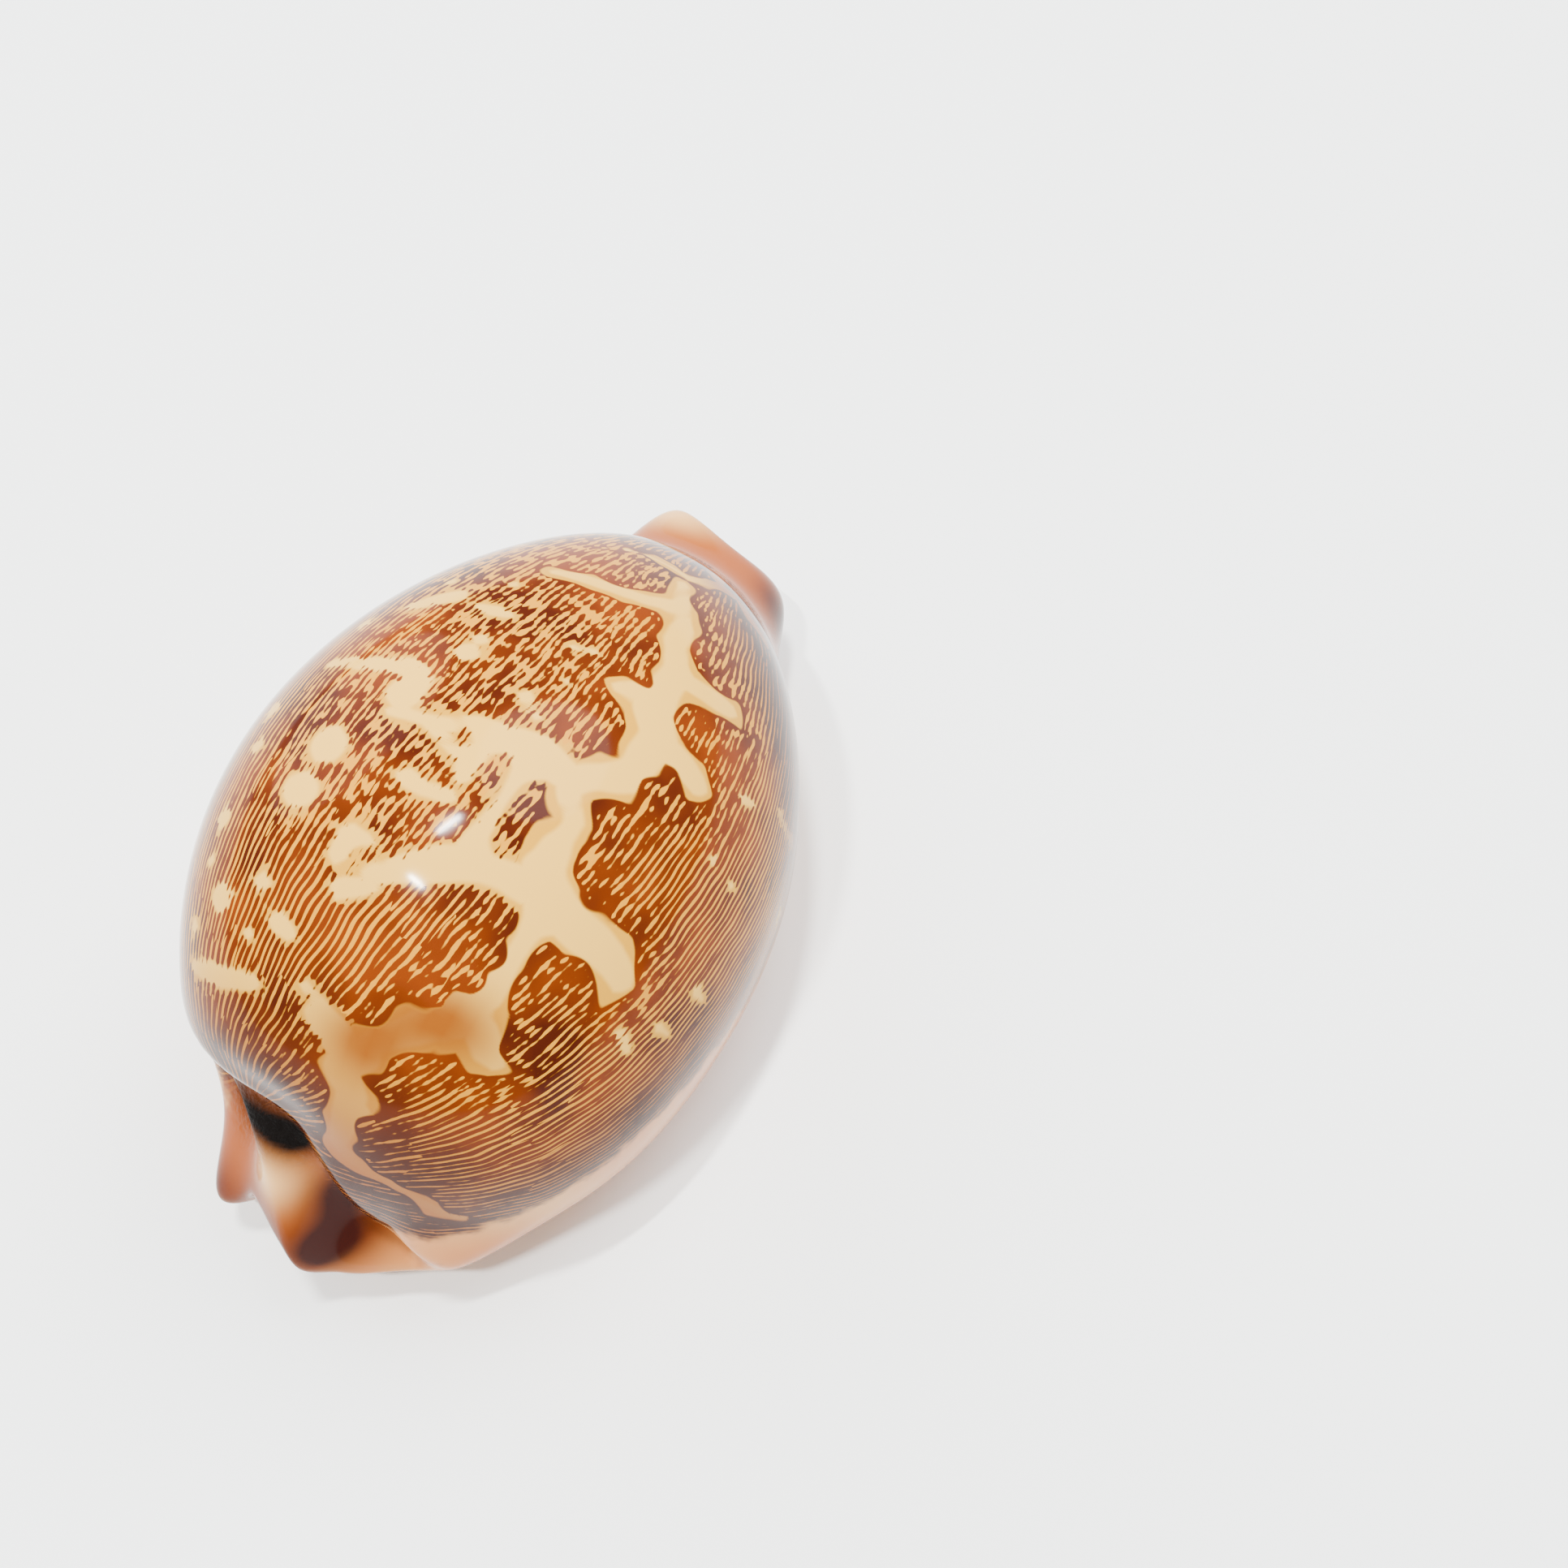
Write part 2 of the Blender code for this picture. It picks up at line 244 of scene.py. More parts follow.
    def sections(self, station: np.ndarray) -> dict[str, np.ndarray]:
        """Sizes of the cross-section at each station.

        Args:
            station: angles along the shell.

        Returns:
            Named arrays, one value for each station, as a column.
        """
        sine = np.clip(np.sin(station), 0.0, 1.0)
        along = (1.0 - np.cos(station)) / 2.0
        knots = np.radians(self.stations)
        fullness = sine ** self.outline_fullness
        pole_z = self.spire_notch[1] * (1.0 - along) + self.front_notch[1] * along
        margin_z = pole_z + (self.margin_height - pole_z) * sine ** self.margin_fullness
        y = self.middle_y - self.notch_to_notch / 2.0 * np.cos(station)
        base_share = sine ** self.base_fullness
        taper = (1.0 + self.lip_taper) * fullness / (fullness + self.lip_taper)
        sizes = {
            "y": y,
            "inner_y": self.middle_y - self.hollow_length / 2.0 * np.cos(station),
            "middle_x": self.spire_notch[0] * (1.0 - along) + self.front_notch[0] * along,
            "margin_z": margin_z,
            "outer_half": natural_spline(station, knots, self.outer_side) * fullness,
            "columellar_half": natural_spline(station, knots, self.columellar_side) * fullness,
            "rise": natural_spline(station, knots, self.back_rise) * sine ** self.back_fullness,
            "fall": margin_z * base_share,
            "base_share": base_share,
            "slit_x": natural_spline(y, self.aperture_y, self.aperture_x),
            "slit_half": natural_spline(y, self.aperture_y, self.aperture_width) / 2.0 * taper,
            "taper": taper,
        }
        return {name: value[:, None] for name, value in sizes.items()}

    def superellipse(self, angle: np.ndarray, body: Sequence[np.ndarray]) -> tuple[np.ndarray, np.ndarray]:
        """Offsets across and up at a polar angle, 0 on the outer lip side.

        Args:
            angle: polar angles.
            body: outer half, columellar half, rise and fall.

        Returns:
            Offsets across and up.
        """
        c, s = np.cos(angle), np.sin(angle)
        power = np.where(s >= 0.0, self.back_roundness, self.base_roundness)
        radius = (np.abs(c) ** power + np.abs(s) ** power) ** (-1.0 / power)
        across = np.where(c >= 0.0, body[0], body[1]) * c * radius
        up = np.where(s >= 0.0, body[2], body[3]) * s * radius
        return across, up

    def base_angle(self, offset: np.ndarray, body: Sequence[np.ndarray]) -> np.ndarray:
        """Polar angle on the lower half of a section: the superellipse solved for its depth at an offset.

        Args:
            offset: how far across from the section's middle.
            body: outer half, columellar half, rise and fall.

        Returns:
            Angles between -pi and 0.
        """
        half = np.where(offset >= 0.0, body[0], body[1])
        share = np.clip(np.abs(offset) / np.maximum(half, TINY), 0.0, self.widest_base_share)
        depth = (1.0 - share ** self.base_roundness) ** (1.0 / self.base_roundness)
        return np.arctan2(-depth, share * np.sign(offset))

    def above_crease(self, points: np.ndarray) -> np.ndarray:
        """Distance above the crease of the spire end: the height over its curve, over sqrt(1 + slope^2).

        Args:
            points: an array whose last axis is (x, y, z).

        Returns:
            One distance for each point, less than 0 below the crease.
        """
        x, z = points[..., 0], points[..., 2]
        half = self.crease_slope_span / 2.0
        rise = (natural_spline(x + half, self.crease_x, self.crease_z)
                - natural_spline(x - half, self.crease_x, self.crease_z))
        slope = rise / self.crease_slope_span
        return (z - natural_spline(x, self.crease_x, self.crease_z)) / np.sqrt(1.0 + slope ** 2)

    def at_spire_end(self, points: np.ndarray) -> np.ndarray:
        """1 where the crease of the spire end is, fading to 0 along the back and to the outer lip side."""
        along = 1.0 - smooth_step(points[..., 1], *self.crease_ends_y)
        return along * (1.0 - smooth_step(points[..., 0], *self.crease_ends_x))

    def add_knobs(self, points: np.ndarray, notch_x: np.ndarray) -> np.ndarray:
        """The points pushed out into knobs and in at the pit and crease, with the notches left open.

        Args:
            points: points of the outer skin or of a lip.
            notch_x: where the notches' middle is across.

        Returns:
            The points plus each knob's bell-shaped push and a bell-shaped crease.
        """
        x, z = points[..., 0], points[..., 2]
        gap = np.exp(-((x - notch_x) / self.notch_reach) ** 2)
        open_notch = 1.0 - gap * (1.0 - smooth_step(z, *self.notch_top))
        above = self.above_crease(points)
        at_end = self.at_spire_end(points)
        below = 1.0 - smooth_step(above, *self.crease_ramp) * at_end
        moved = points.copy()
        for knob in self.knobs.values():
            moved += knob.push(points, open_notch * below if knob.below_crease else open_notch)
        moved[..., 1] += self.crease_depth * np.exp(-(above / self.crease_width) ** 2) * at_end * open_notch
        return moved

    def lower_ridge(self, points: np.ndarray, slit_x: np.ndarray) -> np.ndarray:
        """The base with the ridge behind the outer lip brought down: a bell across, faded up and along.

        Args:
            points: points of the outer skin, changed in place.
            slit_x: where the aperture's middle is across.

        Returns:
            The same points.
        """
        x, y, z = points[..., 0], points[..., 1], points[..., 2]
        across = np.exp(-((x - slit_x - self.ridge_offset) / self.ridge_spread) ** 2)
        low = 1.0 - smooth_step(z, *self.ridge_heights)
        points[..., 2] = z - self.ridge_drop * across * low * np.exp(-(y / self.ridge_half_length) ** 4)
        return points

    def points(self) -> np.ndarray:
        """Grid of points: rows along the shell, columns round the loop from the outer lip over the back.

        The outer skin takes the superellipse at angles crowded towards both lips, even steps less a share of
        their sine. The lips are quarter circles bitten by the teeth, and the hollow is a superellipse of its
        own. At last z becomes (h + sqrt(h^2 + softness^2)) / 2, with h = z - cut, which flattens the lowest
        parts.

        Returns:
            An array of rows, columns and (x, y, z) in mm.
        """
        station = np.linspace(0.0, math.pi, self.rows)
        size = self.sections(station)
        middle, y, slit, taper = size["middle_x"], size["y"], size["slit_x"], size["taper"]
        body = (size["outer_half"], size["columellar_half"], size["rise"], size["fall"])
        outer_roll, columellar_roll = self.outer_roll * taper, self.columellar_roll * taper

        start = self.base_angle(slit + size["slit_half"] + outer_roll - middle, body)
        end = self.base_angle(slit - size["slit_half"] - columellar_roll - middle, body) + TURN
        even = np.linspace(0.0, 1.0, self.outer_columns)[None, :]
        share = even - self.column_crowding * np.sin(TURN * even) / TURN
        across, up = self.superellipse(start + (end - start) * share, body)
        outer = self.lower_ridge(stack(middle + across, y, size["margin_z"] + up), slit)

        turn = np.radians(np.linspace(0.0, 90.0, self.columellar_columns))[None, 1:]
        bite = self.columellar_teeth.cut(y, turn) * taper
        edge = outer[:, -1:, :]
        columellar_lip = stack(edge[..., 0] + (columellar_roll - bite) * np.sin(turn), y,
                               edge[..., 2] + columellar_roll * (1.0 - np.cos(turn)) + bite * np.cos(turn))
        turn = np.radians(np.linspace(90.0, 0.0, self.lip_columns))[None, :-1]
        bite = self.outer_teeth.cut(y, turn) * taper
        edge = outer[:, :1, :].copy()
        outer_lip = stack(edge[..., 0] - (outer_roll - bite) * np.sin(turn), y,
                          edge[..., 2] + outer_roll * (1.0 - np.cos(turn)) + bite * np.cos(turn))

        low = 1.0 - smooth_step(outer[..., 2], *self.ridge_heights)
        from_outer_lip = outer[..., 0] - outer[:, :1, 0]
        from_columella = outer[:, -1:, 0] - outer[..., 0]
        outer[..., 2] += self.outer_teeth.cut_on_base(y, np.abs(from_outer_lip)) * low * taper
        outer[..., 2] += self.columellar_teeth.cut_on_base(y, np.abs(from_columella)) * low * taper

        middle_z = size["margin_z"] + self.hollow_end_lift * (1.0 - size["base_share"])
        hollow_body = (body[0] * self.wall_share, body[1] * self.wall_share, body[2] * self.back_share,
                       (middle_z - self.base_thickness) * size["base_share"])
        start = self.base_angle(slit + size["slit_half"] - middle, hollow_body)
        end = self.base_angle(slit - size["slit_half"] - middle, hollow_body) + TURN
        share = np.linspace(1.0, 0.0, self.hollow_columns)[None, :]
        across, up = self.superellipse(start + (end - start) * share, hollow_body)
        hollow = stack(middle + across, size["inner_y"], middle_z + up)

        skins = [self.add_knobs(part, middle) for part in (outer, columellar_lip, outer_lip)]
        grid = np.concatenate([skins[0], skins[1], hollow, skins[2]], axis=1)
        height = grid[..., 2] - self.rest_cut
        grid[..., 2] = (height + np.sqrt(height ** 2 + self.rest_softness ** 2)) / 2.0
        return grid

    def cavity(self) -> np.ndarray:
        """How far inside each point of the grid is, by its column.

        Returns:
            0 outside, the square of an even rise to 1 round each lip, and 2 in the hollow.
        """
        rising = np.linspace(0.0, 1.0, self.columellar_columns)[1:] ** 2
        falling = np.linspace(1.0, 0.0, self.lip_columns)[:-1] ** 2
        hollow = np.full(self.hollow_columns, self.hollow_mark)
        row = np.concatenate([np.zeros(self.outer_columns), rising, hollow, falling])
        return np.broadcast_to(row, (self.rows, len(row)))


@dataclass(frozen=True)
class Viewpoint:
    """Camera place: where it looks from, and the pixel of the square image at which its anchor shows."""

    azimuth: float = 28.58
    elevation: float = 66.07
    field_of_view: float = 40.0
    distance: float = 183.34
    anchor_pixel: tuple[float, float] = (638.6, 1094.5)
    anchor: tuple[float, float, float] = (0.0, 0.0, 15.0)

    def axes(self) -> tuple[np.ndarray, np.ndarray, np.ndarray]:
        """Directions of the camera, from its azimuth and elevation.

        Returns:
            Unit vectors to its right, up and back.
        """
        a, e = math.radians(self.azimuth), math.radians(self.elevation)
        back = np.array([math.sin(a) * math.cos(e), -math.cos(a) * math.cos(e), math.sin(e)])
        right = np.array([math.cos(a), math.sin(a), 0.0])
        return right, np.cross(back, right), back

    def focal(self) -> float:
        """Focal length in pixels."""
        return IMAGE_SIZE / 2.0 / math.tan(math.radians(self.field_of_view) / 2.0)

    def place(self) -> np.ndarray:
        """Camera position, from which the anchor shows at its pixel.

        Returns:
            The anchor, less its offsets in the image at that distance, plus the distance back.
        """
        right, up, back = self.axes()
        offset_x = (self.anchor_pixel[0] - IMAGE_SIZE / 2.0) / self.focal() * self.distance
        offset_y = (IMAGE_SIZE / 2.0 - self.anchor_pixel[1]) / self.focal() * self.distance
        return np.array(self.anchor) - offset_x * right - offset_y * up + self.distance * back

    def project(self, points: np.ndarray) -> tuple[np.ndarray, np.ndarray]:
        """Pixels at which points show, and their depths.

        Args:
            points: an array whose last axis is (x, y, z).

        Returns:
            Pixel columns and rows as pairs, and depths in mm.
        """
        right, up, back = self.axes()
        away = points - self.place()
        depth = -(away @ back)
        pixels = np.stack([IMAGE_SIZE / 2.0 + self.focal() * (away @ right) / depth,
                           IMAGE_SIZE / 2.0 - self.focal() * (away @ up) / depth], axis=-1)
        return pixels, depth


class Edge(Enum):
    """How a pale field of the back meets the inked ground."""

    CRISP = "crisp"
    FRAYED = "frayed"


@dataclass(frozen=True)
class PaleField:
    """A pale field without ink: points (pixel x, pixel y, half width in pixels) in a row."""

    points: Sequence[tuple[float, float, float]]
    edge: Edge = Edge.FRAYED


@dataclass(frozen=True)
class HiddenSpot:
    """A pale spot on a side that the camera does not see: its centre and radius in mm."""

    centre: tuple[float, float, float]
    radius: float


# The pale branching line along the back, front end first: chains in the camera's pixels, given one by one.
MANTLE_LINE = (
    PaleField(((772, 676, 4), (800, 682, 5), (826, 697, 6), (850, 713, 8), (885, 722, 10), (905, 735, 8),
               (925, 758, 5), (946, 792, 4)), Edge.CRISP),
    PaleField(((886, 716, 8), (884, 700, 7), (881, 682, 6)), Edge.CRISP),
    PaleField(((684, 708, 6), (720, 716, 7), (760, 728, 9), (800, 742, 11), (835, 745, 15)), Edge.CRISP),
    PaleField(((846, 724, 12), (842, 745, 15), (840, 770, 16), (838, 795, 17), (832, 825, 21),
               (822, 850, 25), (814, 880, 28), (807, 905, 29), (795, 930, 27), (770, 952, 25),
               (745, 958, 23), (722, 966, 22)), Edge.CRISP),
    PaleField(((838, 835, 16), (860, 848, 17), (880, 862, 16), (900, 876, 13)), Edge.CRISP),
    PaleField(((815, 850, 18), (790, 848, 14), (768, 850, 9)), Edge.CRISP),
    PaleField(((818, 915, 20), (838, 943, 21), (853, 962, 17)), Edge.CRISP),
    PaleField(((724, 962, 22), (706, 982, 20), (700, 1005, 19), (700, 1030, 19), (692, 1055, 25),
               (678, 1082, 33), (664, 1108, 35)), Edge.CRISP),
    PaleField(((700, 957, 24), (672, 936, 30), (645, 920, 22), (615, 905, 14)), Edge.FRAYED),
    PaleField(((652, 948, 18), (620, 975, 14), (600, 1008, 15), (590, 1050, 20)), Edge.FRAYED),
    PaleField(((620, 905, 14), (588, 935, 12), (560, 950, 14)), Edge.FRAYED),
    PaleField(((455, 1078, 16), (495, 1068, 20), (530, 1064, 25), (562, 1060, 27), (600, 1070, 24),
               (635, 1084, 26), (655, 1094, 30)), Edge.FRAYED),
    PaleField(((675, 1108, 29), (705, 1135, 28), (730, 1160, 27), (752, 1184, 25), (768, 1208, 19)),
              Edge.CRISP),
    PaleField(((656, 1120, 26), (638, 1150, 18), (622, 1177, 16), (607, 1200, 17), (590, 1224, 18),
               (572, 1246, 22)), Edge.CRISP),
    PaleField(((580, 1258, 22), (592, 1276, 24), (602, 1292, 21), (608, 1308, 14)), Edge.CRISP),
    PaleField(((555, 1260, 22), (525, 1266, 24), (495, 1278, 19), (465, 1290, 18), (440, 1300, 22),
               (424, 1312, 22)), Edge.CRISP),
    PaleField(((432, 1296, 24), (415, 1272, 26), (401, 1253, 24), (392, 1238, 17)), Edge.FRAYED),
    PaleField(((423, 1318, 22), (428, 1345, 20), (425, 1366, 20), (414, 1388, 17), (418, 1410, 15),
               (434, 1430, 12), (456, 1446, 9), (480, 1458, 8), (502, 1469, 7), (520, 1484, 7),
               (546, 1495, 6), (572, 1503, 5)), Edge.CRISP),
    PaleField(((424, 1378, 13), (450, 1369, 8)), Edge.CRISP),
)

# The smaller pale spots of the back, in the same pixels.
PALE_SPOTS = tuple(PaleField(points) for points in (
    ((400, 912, 30),), ((368, 973, 29),), ((279, 1008, 18),), ((279, 1104, 21),), ((317, 1083, 17),),
    ((342, 1136, 16), (352, 1150, 12)), ((236, 1142, 16),),
    ((236, 1190, 14), (276, 1204, 17), (312, 1212, 13)),
    ((339, 874, 17),), ((322, 919, 14),), ((410, 820, 8), (461, 818, 12), (508, 823, 14)),
    ((497, 856, 25), (520, 845, 21)), ((488, 882, 12), (540, 886, 16), (590, 893, 13)), ((572, 798, 19),),
    ((556, 718, 12),), ((508, 748, 11), (540, 740, 15), (566, 736, 17)),
    ((590, 745, 11), (612, 756, 17), (632, 764, 11)),
    ((633, 721, 9),), ((639, 849, 14),), ((499, 957, 16), (512, 966, 12)), ((410, 1050, 16), (440, 1030, 18)),
    ((422, 1094, 18), (452, 1092, 15)), ((461, 1040, 13),), ((545, 905, 14), (560, 925, 12)),
    ((380, 1218, 11),), ((592, 786, 13),), ((300, 1150, 9),), ((262, 1060, 10),), ((450, 770, 12),),
    ((560, 985, 12),),
    ((859, 1222, 12), (868, 1234, 8)), ((764, 1276, 10), (766, 1290, 8)), ((808, 1264, 11), (818, 1270, 8)),
    ((962, 1000, 6), (970, 1025, 6), (976, 1040, 5)), ((917, 983, 7), (924, 990, 6)), ((894, 1088, 8),),
    ((875, 1056, 6), (884, 1064, 6)), ((700, 790, 8), (730, 800, 7)), ((705, 843, 7),), ((660, 880, 8),),
))

HIDDEN_SPOTS = (
    HiddenSpot((-17.5, 14.0, 24.0), 1.7), HiddenSpot((-19.0, 4.0, 23.0), 1.3),
    HiddenSpot((-19.5, -9.0, 22.0), 1.6), HiddenSpot((-20.5, -3.0, 17.5), 1.0),
    HiddenSpot((-16.5, 22.0, 19.0), 1.2), HiddenSpot((-18.0, -17.0, 19.0), 1.2),
    HiddenSpot((-12.0, 26.0, 22.0), 1.1), HiddenSpot((-5.0, 29.0, 24.0), 1.3),
    HiddenSpot((21.5, 8.0, 16.5), 0.9), HiddenSpot((17.0, 22.0, 16.0), 0.8),
)


# A patch serves a stain of the shell and also painted highlight and painted shade.
@dataclass(frozen=True)
class SoftPatch:
    """A soft patch of colour, 1 at its centre and falling off as a bell curve; lengths are (x, y, z) in mm.
    """

    centre: tuple[float, float, float]
    spread: tuple[float, float, float]

    def strength(self, points: np.ndarray) -> np.ndarray:
        """exp(-sum of (distance / spread) squared) at each point."""
        away = (points - np.array(self.centre)) / np.array(self.spread)
        return np.exp(-np.sum(away ** 2, axis=-1))


# The shell's own stains and painted light: amber, blush and two russet patches are stains;
# cream is a painted highlight; pit, dark and the front russet patch are painted shade.
STAINS_AND_PAINTED_LIGHT = {
    # pit: near-black painted shade in the recess of the spire pit and in the crease beside it.
    "pit": (SoftPatch((-8.0, -27.6, 18.6), (4.6, 3.2, 2.3)), SoftPatch((-3.4, -27.0, 18.6), (2.6, 2.6, 1.6)),
            SoftPatch((-10.4, -26.6, 13.8), (3.0, 2.6, 2.4))),
    # cream: a painted highlight on the knob at the spire end and on the front tip.
    "cream": (SoftPatch((-4.6, -30.2, 15.4), (2.6, 3.4, 2.0)), SoftPatch((-7.0, 39.6, 11.0), (3.6, 2.4, 3.0))),
    # dark: painted shade in dark brown, near the crease and on the shaded side of the spire-end knob, and
    # inside the front tip on the outer-lip side.
    "dark": (SoftPatch((2.4, -31.4, 10.8), (4.6, 3.4, 3.2)), SoftPatch((0.9, -29.2, 14.6), (2.2, 2.8, 2.8)),
             SoftPatch((0.2, -33.6, 9.6), (3.4, 2.0, 2.0)),
             SoftPatch((6.4, 36.6, 9.0), (2.0, 3.2, 3.2))),
    # russet: the first two patches are the knobs' own reddish brown; the third, at the front tip, is painted
    # shade.
    "russet": (SoftPatch((-10.2, -32.6, 7.4), (2.6, 2.8, 2.8)), SoftPatch((-3.2, -32.6, 10.2), (4.4, 2.6, 2.4)),
               SoftPatch((4.6, 36.5, 11.5), (2.4, 2.8, 2.4))),
    "amber": (SoftPatch((1.2, -3.0, 2.0), (2.6, 6.5, 5.0)), SoftPatch((7.0, -17.0, 35.0), (5.0, 3.2, 5.0)),
              SoftPatch((2.0, -21.0, 33.0), (4.0, 3.4, 5.0))),
    "blush": (SoftPatch((21.0, 4.0, 10.0), (9.0, 17.0, 7.5)), SoftPatch((14.0, -26.0, 8.0), (6.0, 7.0, 4.5)),
              SoftPatch((-12.0, 24.0, 6.0), (5.0, 5.0, 4.5)), SoftPatch((-15.0, 12.0, 5.0), (2.5, 2.2, 3.0)),
              SoftPatch((-14.0, -16.0, 4.5), (2.6, 2.4, 3.0))),
}


@dataclass(frozen=True)
class Markings:
    """Where the ink lies on the back: distances to pale fields, the ink lines' bearing, and the plain zones.

    Lengths are in mm. A pair of places says where a zone starts to fade and where it ends.
    """

    body_middle: tuple[float, float, float] = (0.0, 0.0, 15.0)
    lowest_seen_z: float = 6.0
    spire_pole: tuple[float, float, float] = (-8.5, -28.5, 18.0)
    front_pole: tuple[float, float, float] = (-2.5, 37.0, 12.0)
    hem_y: Sequence[float] = (-40.0, -34.0, -27.0, -20.0, -13.0, -5.0, 5.0, 20.0, 32.0, 42.0)
    outer_hem_z: Sequence[float] = (11.0, 12.5, 14.2, 16.6, 17.6, 16.0, 13.5, 12.0, 10.5, 9.0)
    columellar_hem_z: float = 11.0
    hem_change_x: tuple[float, float] = (-8.0, 8.0)
    lobe_end_x: float = 8.0
    lobe_end_y: float = -26.5
    lobe_side_slope: float = 0.4
    collar_x: float = -3.0
    collar_y: float = 35.2
    collar_bow: float = 0.035
    low_violet: float = 0.85
    low_violet_height: tuple[float, float] = (2.0, 12.0)
    low_violet_y: tuple[float, float] = (-8.0, 12.0)
    spire_violet_y: tuple[float, float] = (-29.0, -19.0)
    collar_violet: tuple[float, float] = (-8.0, -3.5)
    sparse_y: tuple[float, float] = (-15.0, -7.0)
    sparse_outer_x: tuple[float, float] = (1.0, 6.0)
    sparse_columellar_x: tuple[float, float] = (-19.0, -11.0)
    brick_reach: tuple[float, float] = (1.5, 5.5)
    tooth_reach: tuple[float, float] = (3.0, 10.0)
    tooth_z: tuple[float, float] = (2.0, 7.0)

    @staticmethod
    def distance(points: np.ndarray, chain: np.ndarray, radii: np.ndarray) -> np.ndarray:
        """Distance from each point to a chain of round-ended segments.

        Args:
            points: where to work it out.
            chain: the segments' ends.
            radii: radius at each end, which changes evenly along a segment.

        Returns:
            One distance for each point, less than 0 inside.
        """
        nearest = np.full(len(points), FAR)
        starts = range(max(len(chain) - 1, 1))
        for i in starts:
            j = min(i + 1, len(chain) - 1)
            run = chain[j] - chain[i]
            share = np.clip((points - chain[i]) @ run / max(run @ run, TINY), 0.0, 1.0)
            away = np.linalg.norm(points - chain[i] - share[:, None] * run, axis=1)
            nearest = np.minimum(nearest, away - radii[i] - share * (radii[j] - radii[i]))
        return nearest

    def field_distance(self, points: np.ndarray, seen: np.ndarray, view: Viewpoint,
                       fields: Sequence[PaleField]) -> np.ndarray:
        """Distance in mm to the nearest of some pale fields, less than 0 inside.

        Args:
            points: places on the shell.
            seen: which of them face the camera.
            view: the camera that the fields' pixels belong to.
            fields: the pale fields.

        Returns:
            One distance for each point.
        """
        pixels, depth = view.project(points)
        shown, shown_pixels, shown_depth = points[seen], pixels[seen], depth[seen]
        nearest = np.full(len(points), FAR)
        for one in fields:
            marks = np.array(one.points, float)
            gaps = np.linalg.norm(shown_pixels[None] - marks[:, None, :2], axis=-1)
            at = gaps.argmin(axis=1)
            radii = marks[:, 2] * shown_depth[at] / view.focal()
            nearest = np.minimum(nearest, self.distance(points, shown[at], radii))
        return nearest

    def facing(self, grid: np.ndarray, outside: np.ndarray, view: Viewpoint) -> np.ndarray:
        """Which points of the outside face the camera.

        A normal is the cross product of the grid's two gradients, turned away from the body's middle.

        Args:
            grid: the shell's grid of points.
            outside: which points are outside the hollow and the lips.
            view: the camera.

        Returns:
            True where the normal and the way to the camera are less than a quarter turn apart.
        """
        points = grid.reshape(-1, 3)
        normals = np.cross(np.gradient(grid, axis=0), np.gradient(grid, axis=1)).reshape(-1, 3)
        from_middle = points - np.array(self.body_middle)
        outward = normals * np.sign(np.sum(normals * from_middle, axis=1))[:, None]
        towards = view.place() - points
        return outside & (np.sum(outward * towards, axis=1) > 0.0) & (points[:, 2] > self.lowest_seen_z)

    def bearings(self, points: np.ndarray) -> dict[str, np.ndarray]:
        """Places round the axis through the two poles, which the ink lines follow.

        Args:
            points: places on the shell.

        Returns:
            The angle round the axis, the distance from it and the way along it.
        """
        spire, front = np.array(self.spire_pole), np.array(self.front_pole)
        axis = (front - spire) / np.linalg.norm(front - spire)
        side = np.cross(axis, np.array([0.0, 0.0, 1.0]))
        side /= np.linalg.norm(side)
        away = points - spire
        across, up = away @ side, away @ np.cross(side, axis)
        return {"bearing": np.arctan2(across, up), "reach": np.hypot(across, up), "along": away @ axis}

    def zones(self, points: np.ndarray, form: ShellForm) -> dict[str, np.ndarray]:
        """Distances to the edges of the plain parts, and shares of the stained and sparse parts.

        Args:
            points: places on the shell.
            form: the shape that they belong to.

        Returns:
            Named arrays, one value for each point.
        """
        x, y, z = points.T
        outer_share = smooth_step(x, *self.hem_change_x)
        outer_hem = np.interp(y, self.hem_y, self.outer_hem_z)
        above_hem = z - (self.columellar_hem_z + (outer_hem - self.columellar_hem_z) * outer_share)
        beside = self.lobe_side_slope * np.maximum(y - self.lobe_end_y, x - self.lobe_end_x)
        collar = y - (self.collar_y - self.collar_bow * (x - self.collar_x) ** 2)
        low = 1.0 - smooth_step(above_hem, *self.low_violet_height)
        low_side = low * (1.0 - smooth_step(y, *self.low_violet_y)) * outer_share
        violet = np.maximum.reduce([self.low_violet * low_side, 1.0 - smooth_step(y, *self.spire_violet_y),
                                    smooth_step(collar, *self.collar_violet)])
        sparse = (1.0 - smooth_step(x, *self.sparse_outer_x)) * smooth_step(y, *self.sparse_y)
        from_slit = np.abs(x - natural_spline(y, form.aperture_y, form.aperture_x))
        return {
            "hem": above_hem,
            "lobe": np.minimum(-form.above_crease(points), -beside),
            "collar": collar,
            "violet": violet,
            "sparse": sparse * smooth_step(x, *self.sparse_columellar_x),
            "lip": (1.0 - smooth_step(from_slit, *self.tooth_reach)) * (1.0 - smooth_step(z, *self.tooth_z)),
        }

